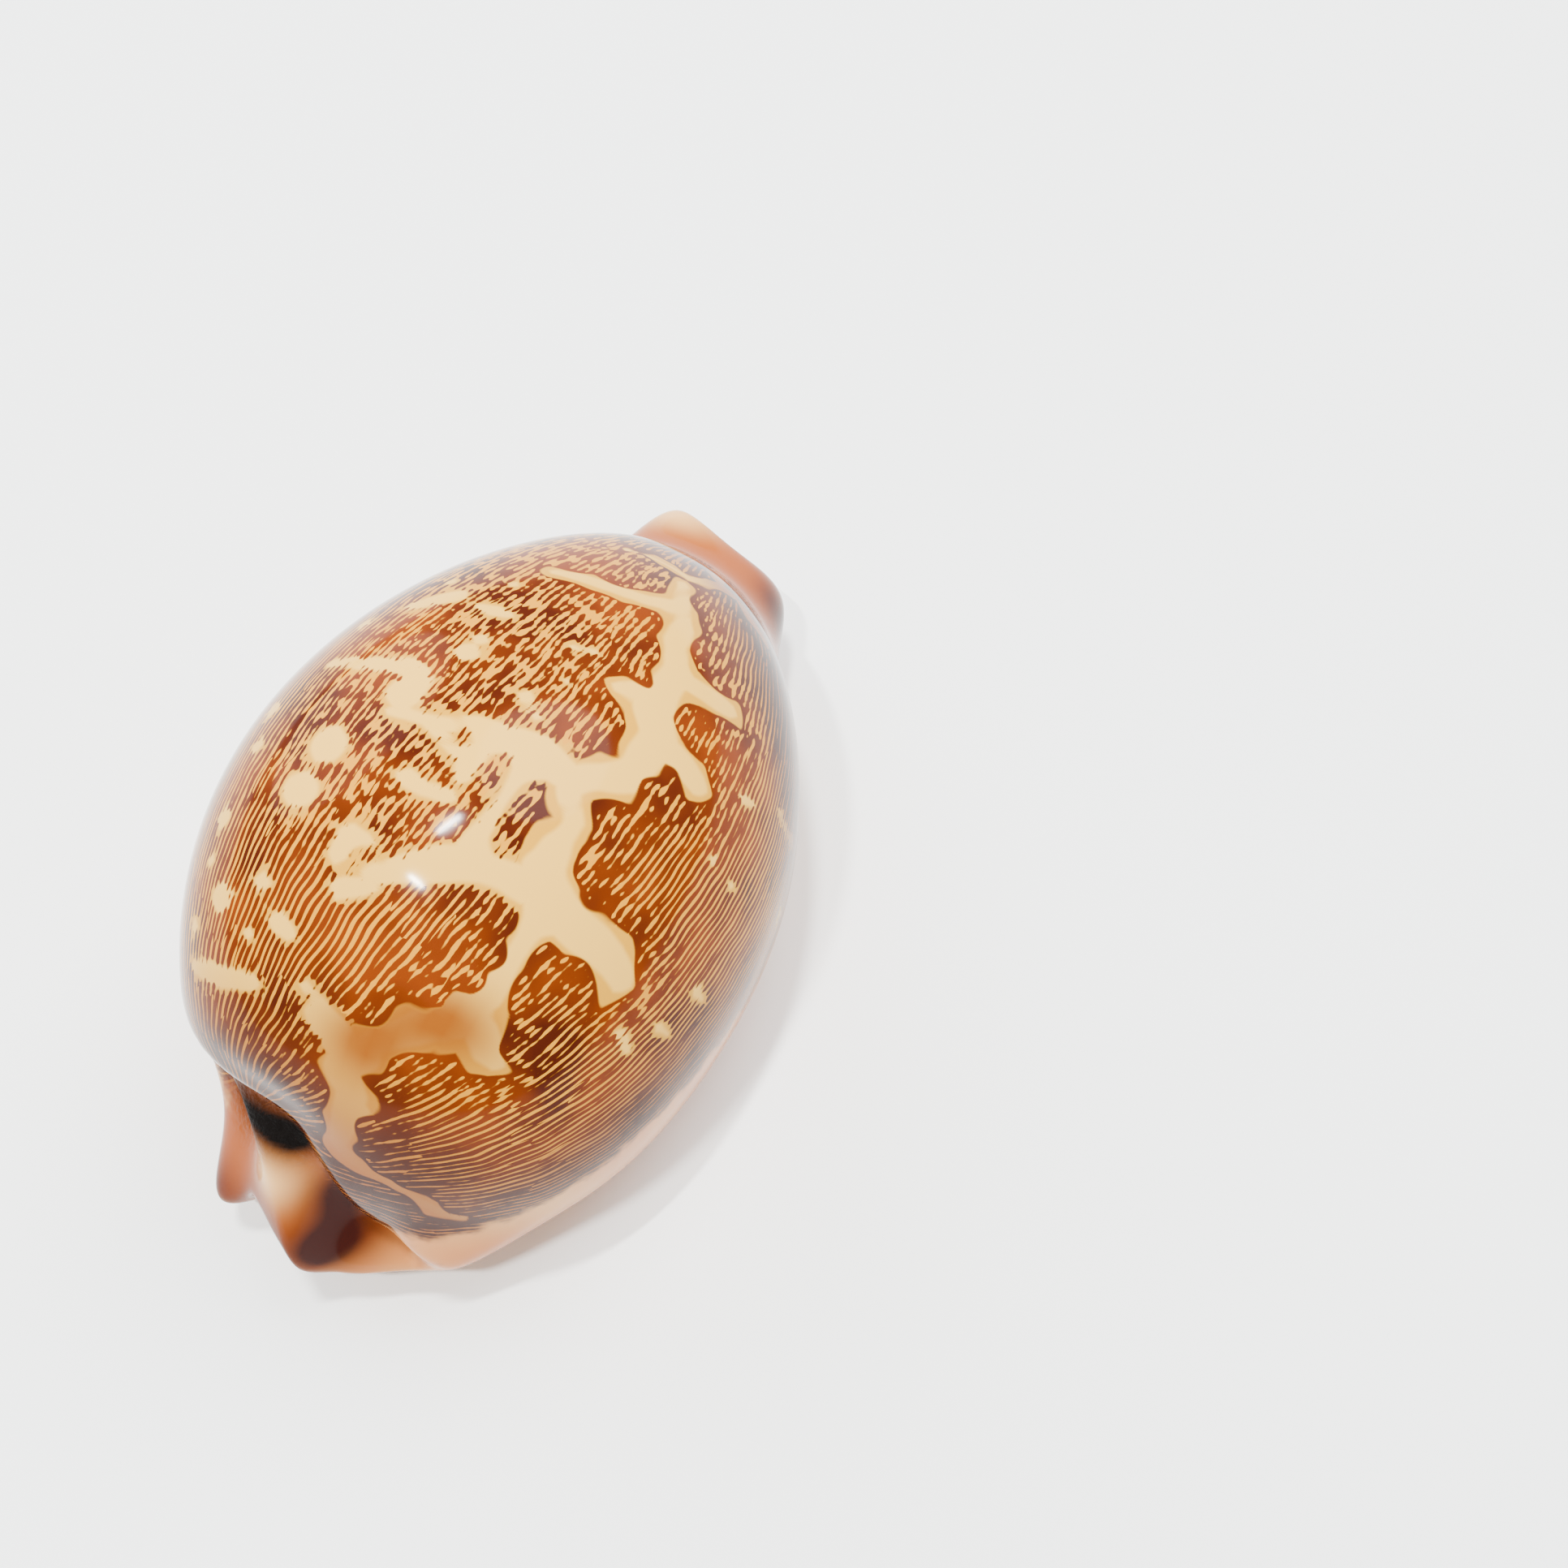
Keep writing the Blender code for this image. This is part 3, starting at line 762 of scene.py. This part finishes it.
    def fields(self, grid: np.ndarray, form: ShellForm, view: Viewpoint) -> dict[str, np.ndarray]:
        """All attributes of the surface that the enamel reads.

        Args:
            grid: the shell's grid of points.
            form: the shape that the grid belongs to.
            view: the camera that the markings' pixels belong to.

        Returns:
            Named arrays, one value for each point.
        """
        points = grid.reshape(-1, 3)
        cavity = form.cavity().reshape(-1)
        seen = self.facing(grid, cavity == 0.0, view)
        crisp = self.field_distance(points, seen, view, [f for f in MANTLE_LINE if f.edge is Edge.CRISP])
        frayed_fields = [f for f in MANTLE_LINE if f.edge is Edge.FRAYED] + list(PALE_SPOTS)
        frayed = self.field_distance(points, seen, view, frayed_fields)
        for spot in HIDDEN_SPOTS:
            frayed = np.minimum(frayed, np.linalg.norm(points - np.array(spot.centre), axis=1) - spot.radius)
        stains_and_painted_light = {name: np.clip(sum(one.strength(points) for one in many), 0.0, 1.0)
                  for name, many in STAINS_AND_PAINTED_LIGHT.items()}
        brick = 1.0 - smooth_step(crisp, *self.brick_reach)
        return {"crisp": crisp, "frayed": frayed, "cavity": cavity, "brick": brick, **self.bearings(points),
                **self.zones(points, form), **stains_and_painted_light}


def linear(colour: str) -> tuple[float, float, float, float]:
    """Linear colour of an sRGB hex colour: share / 12.92 in the dark, else ((share + 0.055) / 1.055)^2.4.

    Args:
        colour: # and six hex digits.

    Returns:
        Linear red, green and blue, and an alpha of 1.
    """
    share = np.array([int(colour[i:i + 2], 16) for i in (1, 3, 5)]) / 255.0
    value = np.where(share <= 0.04045, share / 12.92, ((share + 0.055) / 1.055) ** 2.4)
    return (*value.tolist(), 1.0)


@dataclass(frozen=True)
class Wiring:
    """The nodes of one material."""

    tree: bpy.types.NodeTree

    def add(self, kind: str, inputs: dict[Any, Any], out: Any = 0,
            **settings: Any) -> Optional[Socket]:
        """Adds a node.

        Args:
            kind: the node's type.
            inputs: sockets to link, or plain values to set, by the name or number of the node's input.
            out: name or number of the output to hand back.
            settings: the node's own properties.

        Returns:
            The node's output socket, or None from a node without outputs.
        """
        node = self.tree.nodes.new(kind)
        for name, value in settings.items():
            setattr(node, name, value)
        for key, value in inputs.items():
            if isinstance(value, Socket):
                self.tree.links.new(value, node.inputs[key])
            else:
                node.inputs[key].default_value = value
        return node.outputs[out] if len(node.outputs) else None


@dataclass(frozen=True)
class InkLines:
    """The burnt-orange ink lines of the back, which run along the shell and are cut and joined by noise.

    A rate is in grains per mm, so 1.15 is a grain of 0.87 mm. A weight or level is in units of the lines'
    own wave, which goes from -1 between two lines to 1 on a line. Ink lies where the sum is above 0.
    """

    fray_per_mm: float = 1.15
    waver_per_mm: float = 0.22
    waver_turns: float = 1.6
    lanes_per_radian: float = 14.0
    lane_per_mm: float = 0.1
    least_stretch: float = 0.75
    more_stretch: float = 0.5
    lines_per_radian: float = 12.0
    # Distance from the axis in mm, and the lines for each radian that are added past it.
    ladder: Sequence[tuple[float, float]] = ((9.0, 6.0), (13.0, 6.0), (17.0, 12.0), (24.0, 12.0))
    long_gap_per_mm: float = 0.2
    short_gap_per_mm: float = 0.85
    calm_in_violet: float = -0.8
    wave_loss: float = -0.35
    least_weight: float = 0.5
    fray_weight: float = 3.0
    short_gap_weight: float = 3.2
    long_gap_weight: float = 1.8
    plain_level: float = -0.6
    violet_level: float = 0.35
    sparse_level: float = -0.3
    brick_level: float = 0.05
    softness: float = 0.22
    scallop_per_mm: float = 0.3
    scallop_smoothness: float = 0.3
    scallop_depth: float = -2.4
    scallop_middle: float = 1.1
    rim_reach: tuple[float, float] = (0.2, 0.8)
    rim_level: tuple[float, float] = (1.6, 0.1)
    crisp_edge: tuple[float, float] = (0.0, 0.25)
    frayed_edge: tuple[float, float] = (1.0, 1.3)
    fray_reach: float = 2.0
    line_reach: float = 0.25

    def turns(self, w: Wiring, f: dict[str, Socket]) -> Socket:
        """How many lines lie between a place and the bearing's zero, bent by noise.

        That is the bearing times the lines for each radian, which go up in steps with the distance from the
        axis. The steps keep the lines about 0.5 to 0.75 mm apart, and noise makes their places ragged.

        Args:
            w: the material's nodes.
            f: sockets of the surface's attributes.

        Returns:
            The number of lines.
        """
        waver = w.add(NOISE, {"Vector": f["place"], "Scale": self.waver_per_mm, "Detail": 1.0})
        around = w.add(MATH, {0: f["bearing"], 1: self.lanes_per_radian}, operation="MULTIPLY")
        along = w.add(MATH, {0: f["along"], 1: self.lane_per_mm}, operation="MULTIPLY")
        lane = w.add(COMBINE, {"X": around, "Y": along})
        ragged = w.add(NOISE, {"Vector": lane, "Scale": 1.0, "Detail": 1.0})
        stretch = w.add(MATH, {0: ragged, 1: self.more_stretch, 2: self.least_stretch}, **MULTIPLY_ADD)
        reach = w.add(MATH, {0: f["reach"], 1: stretch}, operation="MULTIPLY")
        count: Any = self.lines_per_radian
        for limit, step in self.ladder:
            past = w.add(MATH, {0: reach, 1: limit}, operation="GREATER_THAN")
            count = w.add(MATH, {0: past, 1: step, 2: count}, **MULTIPLY_ADD)
        straight = w.add(MATH, {0: f["bearing"], 1: count}, operation="MULTIPLY")
        return w.add(MATH, {0: waver, 1: self.waver_turns, 2: straight}, **MULTIPLY_ADD)

    def level(self, w: Wiring, f: dict[str, Socket], turns: Socket, wave: Socket, fine: Socket) -> Socket:
        """Sum of the lines' wave and of the noises that cut and join them.

        Long gaps, short gaps and fine noise break the lines, most of all where the back is sparse or near
        the pale line, and less in the violet parts.

        Args:
            w: the material's nodes.
            f: sockets of the surface's attributes.
            turns: number of lines from the bearing's zero.
            wave: cosine of those turns.
            fine: the noise that frays the lines.

        Returns:
            The sum, above 0 in ink.
        """
        gaps = []
        for rate in (self.long_gap_per_mm, self.short_gap_per_mm):
            step = w.add(MATH, {0: f["along"], 1: rate}, operation="MULTIPLY")
            place = w.add(COMBINE, {"X": turns, "Y": step})
            gaps.append(w.add(NOISE, {"Vector": place, "Scale": 1.0, "Detail": 0.0}))
        long_gap, short_gap = gaps

        broken = w.add(MATH, {0: f["sparse"], 1: f["brick"]}, operation="MAXIMUM")
        in_violet = w.add(MATH, {0: broken, 1: f["violet"]}, operation="MULTIPLY")
        broken = w.add(MATH, {0: in_violet, 1: self.calm_in_violet, 2: broken}, **MULTIPLY_ADD)
        wave_share = w.add(MATH, {0: broken, 1: self.wave_loss, 2: 1.0}, **MULTIPLY_ADD)
        parts = []
        for noise, weight in ((fine, self.fray_weight), (short_gap, self.short_gap_weight)):
            share = w.add(MATH, {0: broken, 1: weight, 2: self.least_weight}, **MULTIPLY_ADD)
            about_zero = w.add(MATH, {0: noise, 1: 0.5}, operation="SUBTRACT")
            parts.append(w.add(MATH, {0: about_zero, 1: share}, operation="MULTIPLY"))
        long_part = w.add(MATH, {0: long_gap, 1: self.long_gap_weight, 2: self.plain_level}, **MULTIPLY_ADD)
        long_part = w.add(MATH, {0: f["violet"], 1: self.violet_level, 2: long_part}, **MULTIPLY_ADD)
        level = w.add(MATH, {0: wave, 1: wave_share, 2: parts[0]}, **MULTIPLY_ADD)
        for part in (parts[1], long_part):
            level = w.add(MATH, {0: level, 1: part}, operation="ADD")
        for name, amount in (("sparse", self.sparse_level), ("brick", self.brick_level)):
            level = w.add(MATH, {0: f[name], 1: amount, 2: level}, **MULTIPLY_ADD)
        return level

    def build(self, w: Wiring, f: dict[str, Socket]) -> tuple[Socket, Socket]:
        """Shares of ink and of plain pale ground at each place.

        Args:
            w: the material's nodes.
            f: sockets of the surface's attributes.

        Returns:
            The ink share and the plain pale share.
        """
        fine = w.add(NOISE, {"Vector": f["place"], "Scale": self.fray_per_mm, "Detail": 1.0,
                             "Roughness": 0.5})
        turns = self.turns(w, f)
        angle = w.add(MATH, {0: turns, 1: TURN}, operation="MULTIPLY")
        wave = w.add(MATH, {0: angle}, operation="COSINE")
        level = self.level(w, f, turns, wave, fine)

        scallops = w.add("ShaderNodeTexVoronoi", {"Vector": f["place"], "Scale": self.scallop_per_mm,
                                                  "Smoothness": self.scallop_smoothness},
                         "Distance", feature="SMOOTH_F1")
        crisp = w.add(MATH, {0: scallops, 1: self.scallop_depth, 2: self.scallop_middle}, **MULTIPLY_ADD)
        crisp = w.add(MATH, {0: f["crisp"], 1: crisp}, operation="ADD")
        rim = w.add(REMAP, {"Value": crisp, 1: self.rim_reach[0], 2: self.rim_reach[1],
                            3: self.rim_level[0], 4: self.rim_level[1]}, **SMOOTH)
        level = w.add(MATH, {0: level, 1: rim}, operation="ADD")
        ink = w.add(REMAP, {"Value": level, 1: -self.softness, 2: self.softness}, **SMOOTH)

        frayed = w.add(MATH, {0: fine, 1: self.fray_reach, 2: f["frayed"]}, **MULTIPLY_ADD)
        frayed = w.add(MATH, {0: wave, 1: self.line_reach, 2: frayed}, **MULTIPLY_ADD)
        crisp_pale, frayed_pale = (
            w.add(REMAP, {"Value": distance, 1: edge[0], 2: edge[1], 3: 1.0, 4: 0.0}, **SMOOTH)
            for distance, edge in ((crisp, self.crisp_edge), (frayed, self.frayed_edge)))
        pale = w.add(MATH, {0: crisp_pale, 1: frayed_pale}, operation="MAXIMUM")
        inked = w.add(MATH, {0: 1.0, 1: pale}, operation="SUBTRACT")
        return w.add(MATH, {0: ink, 1: inked}, operation="MULTIPLY"), pale


@dataclass(frozen=True)
class PorcelainEnamel:
    """Cowrie enamel: aragonite laid down in thin clear layers, glazed smooth by the living animal.

    The eye sees a wet-looking gloss over colour that lies just under the surface, so the colour has soft
    edges and nothing of it is raised. Aragonite's refractive index is about 1.6.
    """

    slot: str = "shell_enamel"
    ink: str = "#6C2C06"
    deep_ink: str = "#3E1407"
    violet_ink: str = "#34140A"
    ground: str = "#C48416"
    violet_ground: str = "#8C4E1A"
    pale: str = "#D8A848"
    pale_rim: str = "#C08A20"
    amber: str = "#82460E"
    base: str = "#D8A05A"
    rosy_base: str = "#CC8A54"
    blush: str = "#BC6A2C"
    tooth: str = "#CE9644"
    callus: str = "#944816"
    # Colour of the painted highlight on the knobs.
    callus_painted_highlight: str = "#E6B474"
    # Own reddish brown of the knobs, also used as painted shade at the front tip.
    russet: str = "#58220C"
    # Colour of the painted shade on the knobs.
    dark: str = "#2F110C"
    # Colour of the painted shade in the spire pit.
    pit: str = "#060302"
    # Colour of the painted shade inside the hollow.
    cavity: str = "#200B07"
    roughness: float = 0.09
    pit_roughness: float = 0.7
    refractive_index: float = 1.6
    # Far below the index's own level, because a mirror image of the bright floor would veil the ink.
    specular_level: float = 0.05
    lines: InkLines = InkLines()
    # Rates are in grains per mm, wanders, edges and floors in mm, and tones in shares of their noise.
    cloud_per_mm: float = 0.14
    cloud_tones: tuple[float, float] = (0.35, 0.65)
    ochre_wander: float = 1.6
    ochre_edge: tuple[float, float] = (0.45, 0.95)
    base_cloud_per_mm: float = 0.07
    base_tones: tuple[float, float] = (0.4, 0.62)
    hem_per_mm: float = 0.5
    hem_wander: float = 3.0
    hem_edge: tuple[float, float] = (0.6, 2.4)
    lobe_wander: float = 2.4
    lobe_edge: tuple[float, float] = (0.2, 1.6)
    collar_edge: tuple[float, float] = (-0.6, 0.1)
    callus_floor: tuple[float, float] = (-8.0, -3.0)
    # The hollow's painted shade comes in between these two values of the cavity attribute.
    cavity_edge: tuple[float, float] = (0.5, 1.3)
    pit_grain_per_mm: float = 1.6
    pit_grain_mm: float = 0.6
    pit_grain_strength: float = 0.6

    def fields(self, w: Wiring) -> dict[str, Socket]:
        """Sockets of all attributes of the surface, and its place in mm.

        Args:
            w: the material's nodes.

        Returns:
            The sockets by name.
        """
        names = ("crisp", "frayed", "bearing", "reach", "along", "hem", "lobe", "collar", "cavity", "violet",
                 "sparse", "brick", "lip", *STAINS_AND_PAINTED_LIGHT)
        found = {name: w.add(ATTRIBUTE, {}, "Fac", attribute_name=name) for name in names}
        place = w.add("ShaderNodeTexCoord", {}, "Object")
        found["place"] = w.add("ShaderNodeVectorMath", {0: place, 1: (1.0 / MM,) * 3}, operation="MULTIPLY")
        return found

    def back_colour(self, w: Wiring, f: dict[str, Socket]) -> Socket:
        """Colour of the inked back: ground, pale fields with ochre rims and amber stains, and ink.

        Args:
            w: the material's nodes.
            f: sockets of the surface's attributes.

        Returns:
            The colour.
        """
        ink, pale = self.lines.build(w, f)
        cloud = w.add(NOISE, {"Vector": f["place"], "Scale": self.cloud_per_mm, "Detail": 2.0})
        tone = w.add(REMAP, {"Value": cloud, 1: self.cloud_tones[0], 2: self.cloud_tones[1]})
        ink_colour = w.add(MIX, {0: tone, 6: linear(self.ink), 7: linear(self.deep_ink)}, 2, **RGBA)
        ink_colour = w.add(MIX, {0: f["violet"], 6: ink_colour, 7: linear(self.violet_ink)}, 2, **RGBA)
        ground = w.add(MIX, {0: f["violet"], 6: linear(self.ground), 7: linear(self.violet_ground)}, 2,
                       **RGBA)
        nearest = w.add(MATH, {0: f["crisp"], 1: f["frayed"]}, operation="MINIMUM")
        depth = w.add(MATH, {0: cloud, 1: self.ochre_wander, 2: nearest}, **MULTIPLY_ADD)
        rim = w.add(REMAP, {"Value": depth, 1: self.ochre_edge[0], 2: self.ochre_edge[1]}, **SMOOTH)
        field_colour: Any = linear(self.pale)
        for share, colour in ((rim, self.pale_rim), (f["amber"], self.amber),
                              (f["violet"], self.violet_ground)):
            field_colour = w.add(MIX, {0: share, 6: field_colour, 7: linear(colour)}, 2, **RGBA)
        plain = w.add(MIX, {0: pale, 6: ground, 7: field_colour}, 2, **RGBA)
        return w.add(MIX, {0: ink, 6: plain, 7: ink_colour}, 2, **RGBA)

    def base_colour(self, w: Wiring, f: dict[str, Socket]) -> Socket:
        """Colour of the plain base: cream to rose, with orange blotches and yellowish teeth.

        Args:
            w: the material's nodes.
            f: sockets of the surface's attributes.

        Returns:
            The colour.
        """
        cloud = w.add(NOISE, {"Vector": f["place"], "Scale": self.base_cloud_per_mm, "Detail": 2.0})
        tone = w.add(REMAP, {"Value": cloud, 1: self.base_tones[0], 2: self.base_tones[1]})
        base = w.add(MIX, {0: tone, 6: linear(self.base), 7: linear(self.rosy_base)}, 2, **RGBA)
        for share, colour in (("lip", self.tooth), ("blush", self.blush), ("amber", self.amber)):
            base = w.add(MIX, {0: f[share], 6: base, 7: linear(colour)}, 2, **RGBA)
        return base

    def callus_colour(self, w: Wiring, f: dict[str, Socket]) -> Socket:
        """Colour of the knobs at both ends: peach, russet, a painted cream highlight and painted dark shade.

        Args:
            w: the material's nodes.
            f: sockets of the surface's attributes.

        Returns:
            The colour.
        """
        callus: Any = linear(self.callus)
        for share, colour in (("russet", self.russet), ("cream", self.callus_painted_highlight), ("dark", self.dark)):
            callus = w.add(MIX, {0: f[share], 6: callus, 7: linear(colour)}, 2, **RGBA)
        return callus

    def build(self) -> bpy.types.Material:
        """The material: base, back and knobs laid over one another, then painted shade in the pit and the
        hollow.

        Returns:
            The material, with all its nodes.
        """
        material = bpy.data.materials.new("cowrie_enamel")
        material.use_nodes = True
        tree = material.node_tree
        tree.nodes.clear()
        w = Wiring(tree)
        f = self.fields(w)
        wander = w.add(NOISE, {"Vector": f["place"], "Scale": self.hem_per_mm, "Detail": 2.0})
        hem = w.add(MATH, {0: wander, 1: self.hem_wander, 2: f["hem"]}, **MULTIPLY_ADD)
        lobe = w.add(MATH, {0: wander, 1: self.lobe_wander, 2: f["lobe"]}, **MULTIPLY_ADD)
        # inside is the share of the hollow's painted shade.
        on_back, on_lobe, on_tip, above_floor, inside = (
            w.add(REMAP, {"Value": value, 1: edge[0], 2: edge[1]}, **SMOOTH)
            for value, edge in ((hem, self.hem_edge), (lobe, self.lobe_edge), (f["collar"], self.collar_edge),
                                (f["hem"], self.callus_floor), (f["cavity"], self.cavity_edge)))
        on_callus = w.add(MATH, {0: on_lobe, 1: on_tip}, operation="MAXIMUM")
        on_callus = w.add(MATH, {0: on_callus, 1: above_floor}, operation="MULTIPLY")
        colour = self.base_colour(w, f)
        # The pit and inside layers are painted shade; the knob layer holds a painted highlight and painted
        # shade.
        for share, over in ((on_back, self.back_colour(w, f)), (on_callus, self.callus_colour(w, f)),
                            (f["pit"], linear(self.pit)), (inside, linear(self.cavity))):
            colour = w.add(MIX, {0: share, 6: colour, 7: over}, 2, **RGBA)
        roughness = w.add(REMAP, {"Value": f["pit"], 3: self.roughness, 4: self.pit_roughness})
        relief = w.add(NOISE, {"Vector": f["place"], "Scale": self.pit_grain_per_mm, "Detail": 3.0})
        relief = w.add(MATH, {0: relief, 1: f["pit"]}, operation="MULTIPLY")
        bump = w.add("ShaderNodeBump", {"Height": relief, "Strength": self.pit_grain_strength,
                                        "Distance": self.pit_grain_mm * MM}, "Normal")
        surface = w.add("ShaderNodeBsdfPrincipled", {
            "Base Color": colour, "Roughness": roughness, "Normal": bump, "IOR": self.refractive_index,
            "Specular IOR Level": self.specular_level})
        w.add("ShaderNodeOutputMaterial", {"Surface": surface})
        return material


@dataclass
class CowrieShell:
    """The whole shell: its surface, its marking attributes and its enamel."""

    form: ShellForm = field(default_factory=ShellForm)
    markings: Markings = Markings()
    enamel: PorcelainEnamel = PorcelainEnamel()
    node: str = "shell"

    def fit(self, grid: np.ndarray) -> tuple[np.ndarray, np.ndarray]:
        """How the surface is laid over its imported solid, by the corners of both boxes.

        Args:
            grid: the shell's grid of points.

        Returns:
            The shift in mm and the scale, each for x, y and z.
        """
        low, high = (np.array(corner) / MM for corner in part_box(self.node))
        flat = grid.reshape(-1, 3)
        own_low, own_high = flat.min(axis=0), flat.max(axis=0)
        scale = (high - low) / (own_high - own_low)
        return low - own_low * scale, scale

    def mesh(self, grid: np.ndarray, places: np.ndarray, values: dict[str, np.ndarray]) -> bpy.types.Mesh:
        """Closed triangle mesh of the grid, with points at the same place joined.

        Args:
            grid: the grid in the shell's own layout, which says what joins what.
            places: the same points where they go, in metres.
            values: the attributes of each point.

        Returns:
            The mesh with its attributes.
        """
        rows, columns = grid.shape[:2]
        rounded = np.round(grid.reshape(-1, 3), JOIN_DIGITS)
        _, first, joined = np.unique(rounded, axis=0, return_index=True, return_inverse=True)
        joined = joined.reshape(rows, columns)
        near, far = joined[:-1], joined[1:]
        near_next, far_next = np.roll(near, -1, axis=1), np.roll(far, -1, axis=1)
        triangles = np.concatenate([np.stack([near, near_next, far], axis=-1).reshape(-1, 3),
                                    np.stack([near_next, far_next, far], axis=-1).reshape(-1, 3)])
        a, b, c = triangles.T
        triangles = triangles[(a != b) & (b != c) & (c != a)]
        corners = places.reshape(-1, 3)[first][triangles]
        volume = np.sum(corners[:, 0] * np.cross(corners[:, 1], corners[:, 2]))
        triangles = triangles if volume > 0.0 else triangles[:, ::-1]

        mesh = bpy.data.meshes.new("cowrie_shell")
        mesh.vertices.add(len(first))
        mesh.vertices.foreach_set("co", places.reshape(-1, 3)[first].ravel())
        mesh.loops.add(triangles.size)
        mesh.loops.foreach_set("vertex_index", triangles.ravel().astype(np.int32))
        mesh.polygons.add(len(triangles))
        mesh.polygons.foreach_set("loop_start", np.arange(0, triangles.size, 3, dtype=np.int32))
        mesh.update(calc_edges=True)
        mesh.validate()
        for name, value in values.items():
            layer = mesh.attributes.new(name, "FLOAT", "POINT")
            layer.data.foreach_set("value", value[first].astype(np.float32))
        mesh.shade_smooth()
        return mesh

    def build(self, view: Viewpoint) -> tuple[bpy.types.Object, np.ndarray]:
        """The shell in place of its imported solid.

        Args:
            view: the camera that the markings' pixels belong to.

        Returns:
            The shell's object, and the shift in mm from its own layout.
        """
        grid = self.form.points()
        values = self.markings.fields(grid, self.form, view)
        shift, scale = self.fit(grid)
        LOG.info("shell shift %s mm, scale %s", shift.round(3), scale.round(4))
        shell = bpy.data.objects.new("cowrie_shell", self.mesh(grid, (grid * scale + shift) * MM, values))
        bpy.context.scene.collection.objects.link(shell)
        shell.data.materials.append(self.enamel.build())
        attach(shell, "root")
        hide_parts(self.node)
        LOG.info("cowrie_shell: %d triangles", len(shell.data.polygons))
        return shell, shift


@dataclass(frozen=True)
class SoftLight:
    """An oval studio light: its place and size in mm, its power in watts and its colour."""

    name: str
    place: tuple[float, float, float]
    size: tuple[float, float]
    power: float
    colour: str = "#FFFFFF"

    def build(self, aim: Vector) -> bpy.types.Object:
        """The light, turned towards its aim.

        Args:
            aim: what it points at, in metres.

        Returns:
            The light's object.
        """
        data = bpy.data.lights.new(self.name, "AREA")
        data.shape = "ELLIPSE"
        data.size, data.size_y = self.size[0] * MM, self.size[1] * MM
        data.energy = self.power
        data.color = linear(self.colour)[:3]
        lamp = bpy.data.objects.new(self.name, data)
        lamp.location = Vector(self.place) * MM
        lamp.rotation_euler = (aim - lamp.location).to_track_quat("-Z", "Y").to_euler()
        bpy.context.scene.collection.objects.link(lamp)
        return lamp


@dataclass
class Studio:
    """Pale matt floor, soft lights and camera."""

    floor_half: float = 3000.0
    floor_colour: str = "#F4F7F8"
    floor_roughness: float = 0.8
    world_colour: str = "#F4F8FA"
    world_strength: float = 0.8
    aim: tuple[float, float, float] = (0.0, 0.0, 18.0)
    clip: tuple[float, float] = (10.0, 20000.0)
    lights: Sequence[SoftLight] = (
        SoftLight("strip_middle", (-76.0, 28.0, 836.0), (120.0, 16.0), 10.0, "#FFFDF8"),
        SoftLight("strip_back", (-72.0, -252.0, 800.0), (80.0, 12.0), 8.0, "#FFFDF8"),
        SoftLight("glow", (102.0, 435.0, 705.0), (560.0, 560.0), 10.0, "#FFFEFC"),
        SoftLight("side", (-700.0, 250.0, 450.0), (900.0, 900.0), 9.0, "#F6F9FF"),
    )

    def floor(self) -> bpy.types.Object:
        """A wide flat square of matt card under the shell.

        Returns:
            The floor's object.
        """
        h = self.floor_half * MM
        mesh = bpy.data.meshes.new("floor")
        mesh.from_pydata([(-h, -h, 0.0), (h, -h, 0.0), (h, h, 0.0), (-h, h, 0.0)], [], [(0, 1, 2, 3)])
        floor = bpy.data.objects.new("floor", mesh)
        bpy.context.scene.collection.objects.link(floor)
        material = bpy.data.materials.new("matt_card")
        material.use_nodes = True
        surface = material.node_tree.nodes["Principled BSDF"]
        surface.inputs["Base Color"].default_value = linear(self.floor_colour)
        surface.inputs["Roughness"].default_value = self.floor_roughness
        mesh.materials.append(material)
        return floor

    def world(self) -> None:
        """An even pale surround."""
        world = bpy.data.worlds.new("surround")
        world.use_nodes = True
        background = world.node_tree.nodes["Background"]
        background.inputs["Color"].default_value = linear(self.world_colour)
        background.inputs["Strength"].default_value = self.world_strength
        bpy.context.scene.world = world

    def camera(self, view: Viewpoint, shift: np.ndarray) -> bpy.types.Object:
        """The camera at its viewpoint, moved with the shell from its own layout.

        Args:
            view: the viewpoint in the shell's layout.
            shift: the shell's shift in mm.

        Returns:
            The camera's object, which the scene then uses.
        """
        right, up, back = view.axes()
        turn = Matrix((right, up, back)).transposed().to_4x4()
        data = bpy.data.cameras.new("camera")
        data.sensor_fit = "HORIZONTAL"
        data.angle = math.radians(view.field_of_view)
        data.clip_start, data.clip_end = self.clip[0] * MM, self.clip[1] * MM
        camera = bpy.data.objects.new("camera", data)
        place = (view.place() + np.array([shift[0], shift[1], 0.0])) * MM
        camera.matrix_world = Matrix.Translation(Vector(place)) @ turn
        bpy.context.scene.collection.objects.link(camera)
        bpy.context.scene.camera = camera
        return camera

    def build(self, view: Viewpoint, shift: np.ndarray) -> None:
        """Floor, surround, lights and camera.

        Args:
            view: the viewpoint in the shell's layout.
            shift: the shell's shift in mm.
        """
        self.floor()
        self.world()
        for light in self.lights:
            light.build(Vector(self.aim) * MM)
            LOG.info("light %s", light.name)
        self.camera(view, shift)


def main() -> None:
    """Builds the shell and its studio."""
    logging.basicConfig(level=logging.INFO, format="%(name)s %(message)s")
    view = Viewpoint()
    _, shift = CowrieShell().build(view)
    Studio().build(view, shift)


if __name__ == "__main__":
    main()
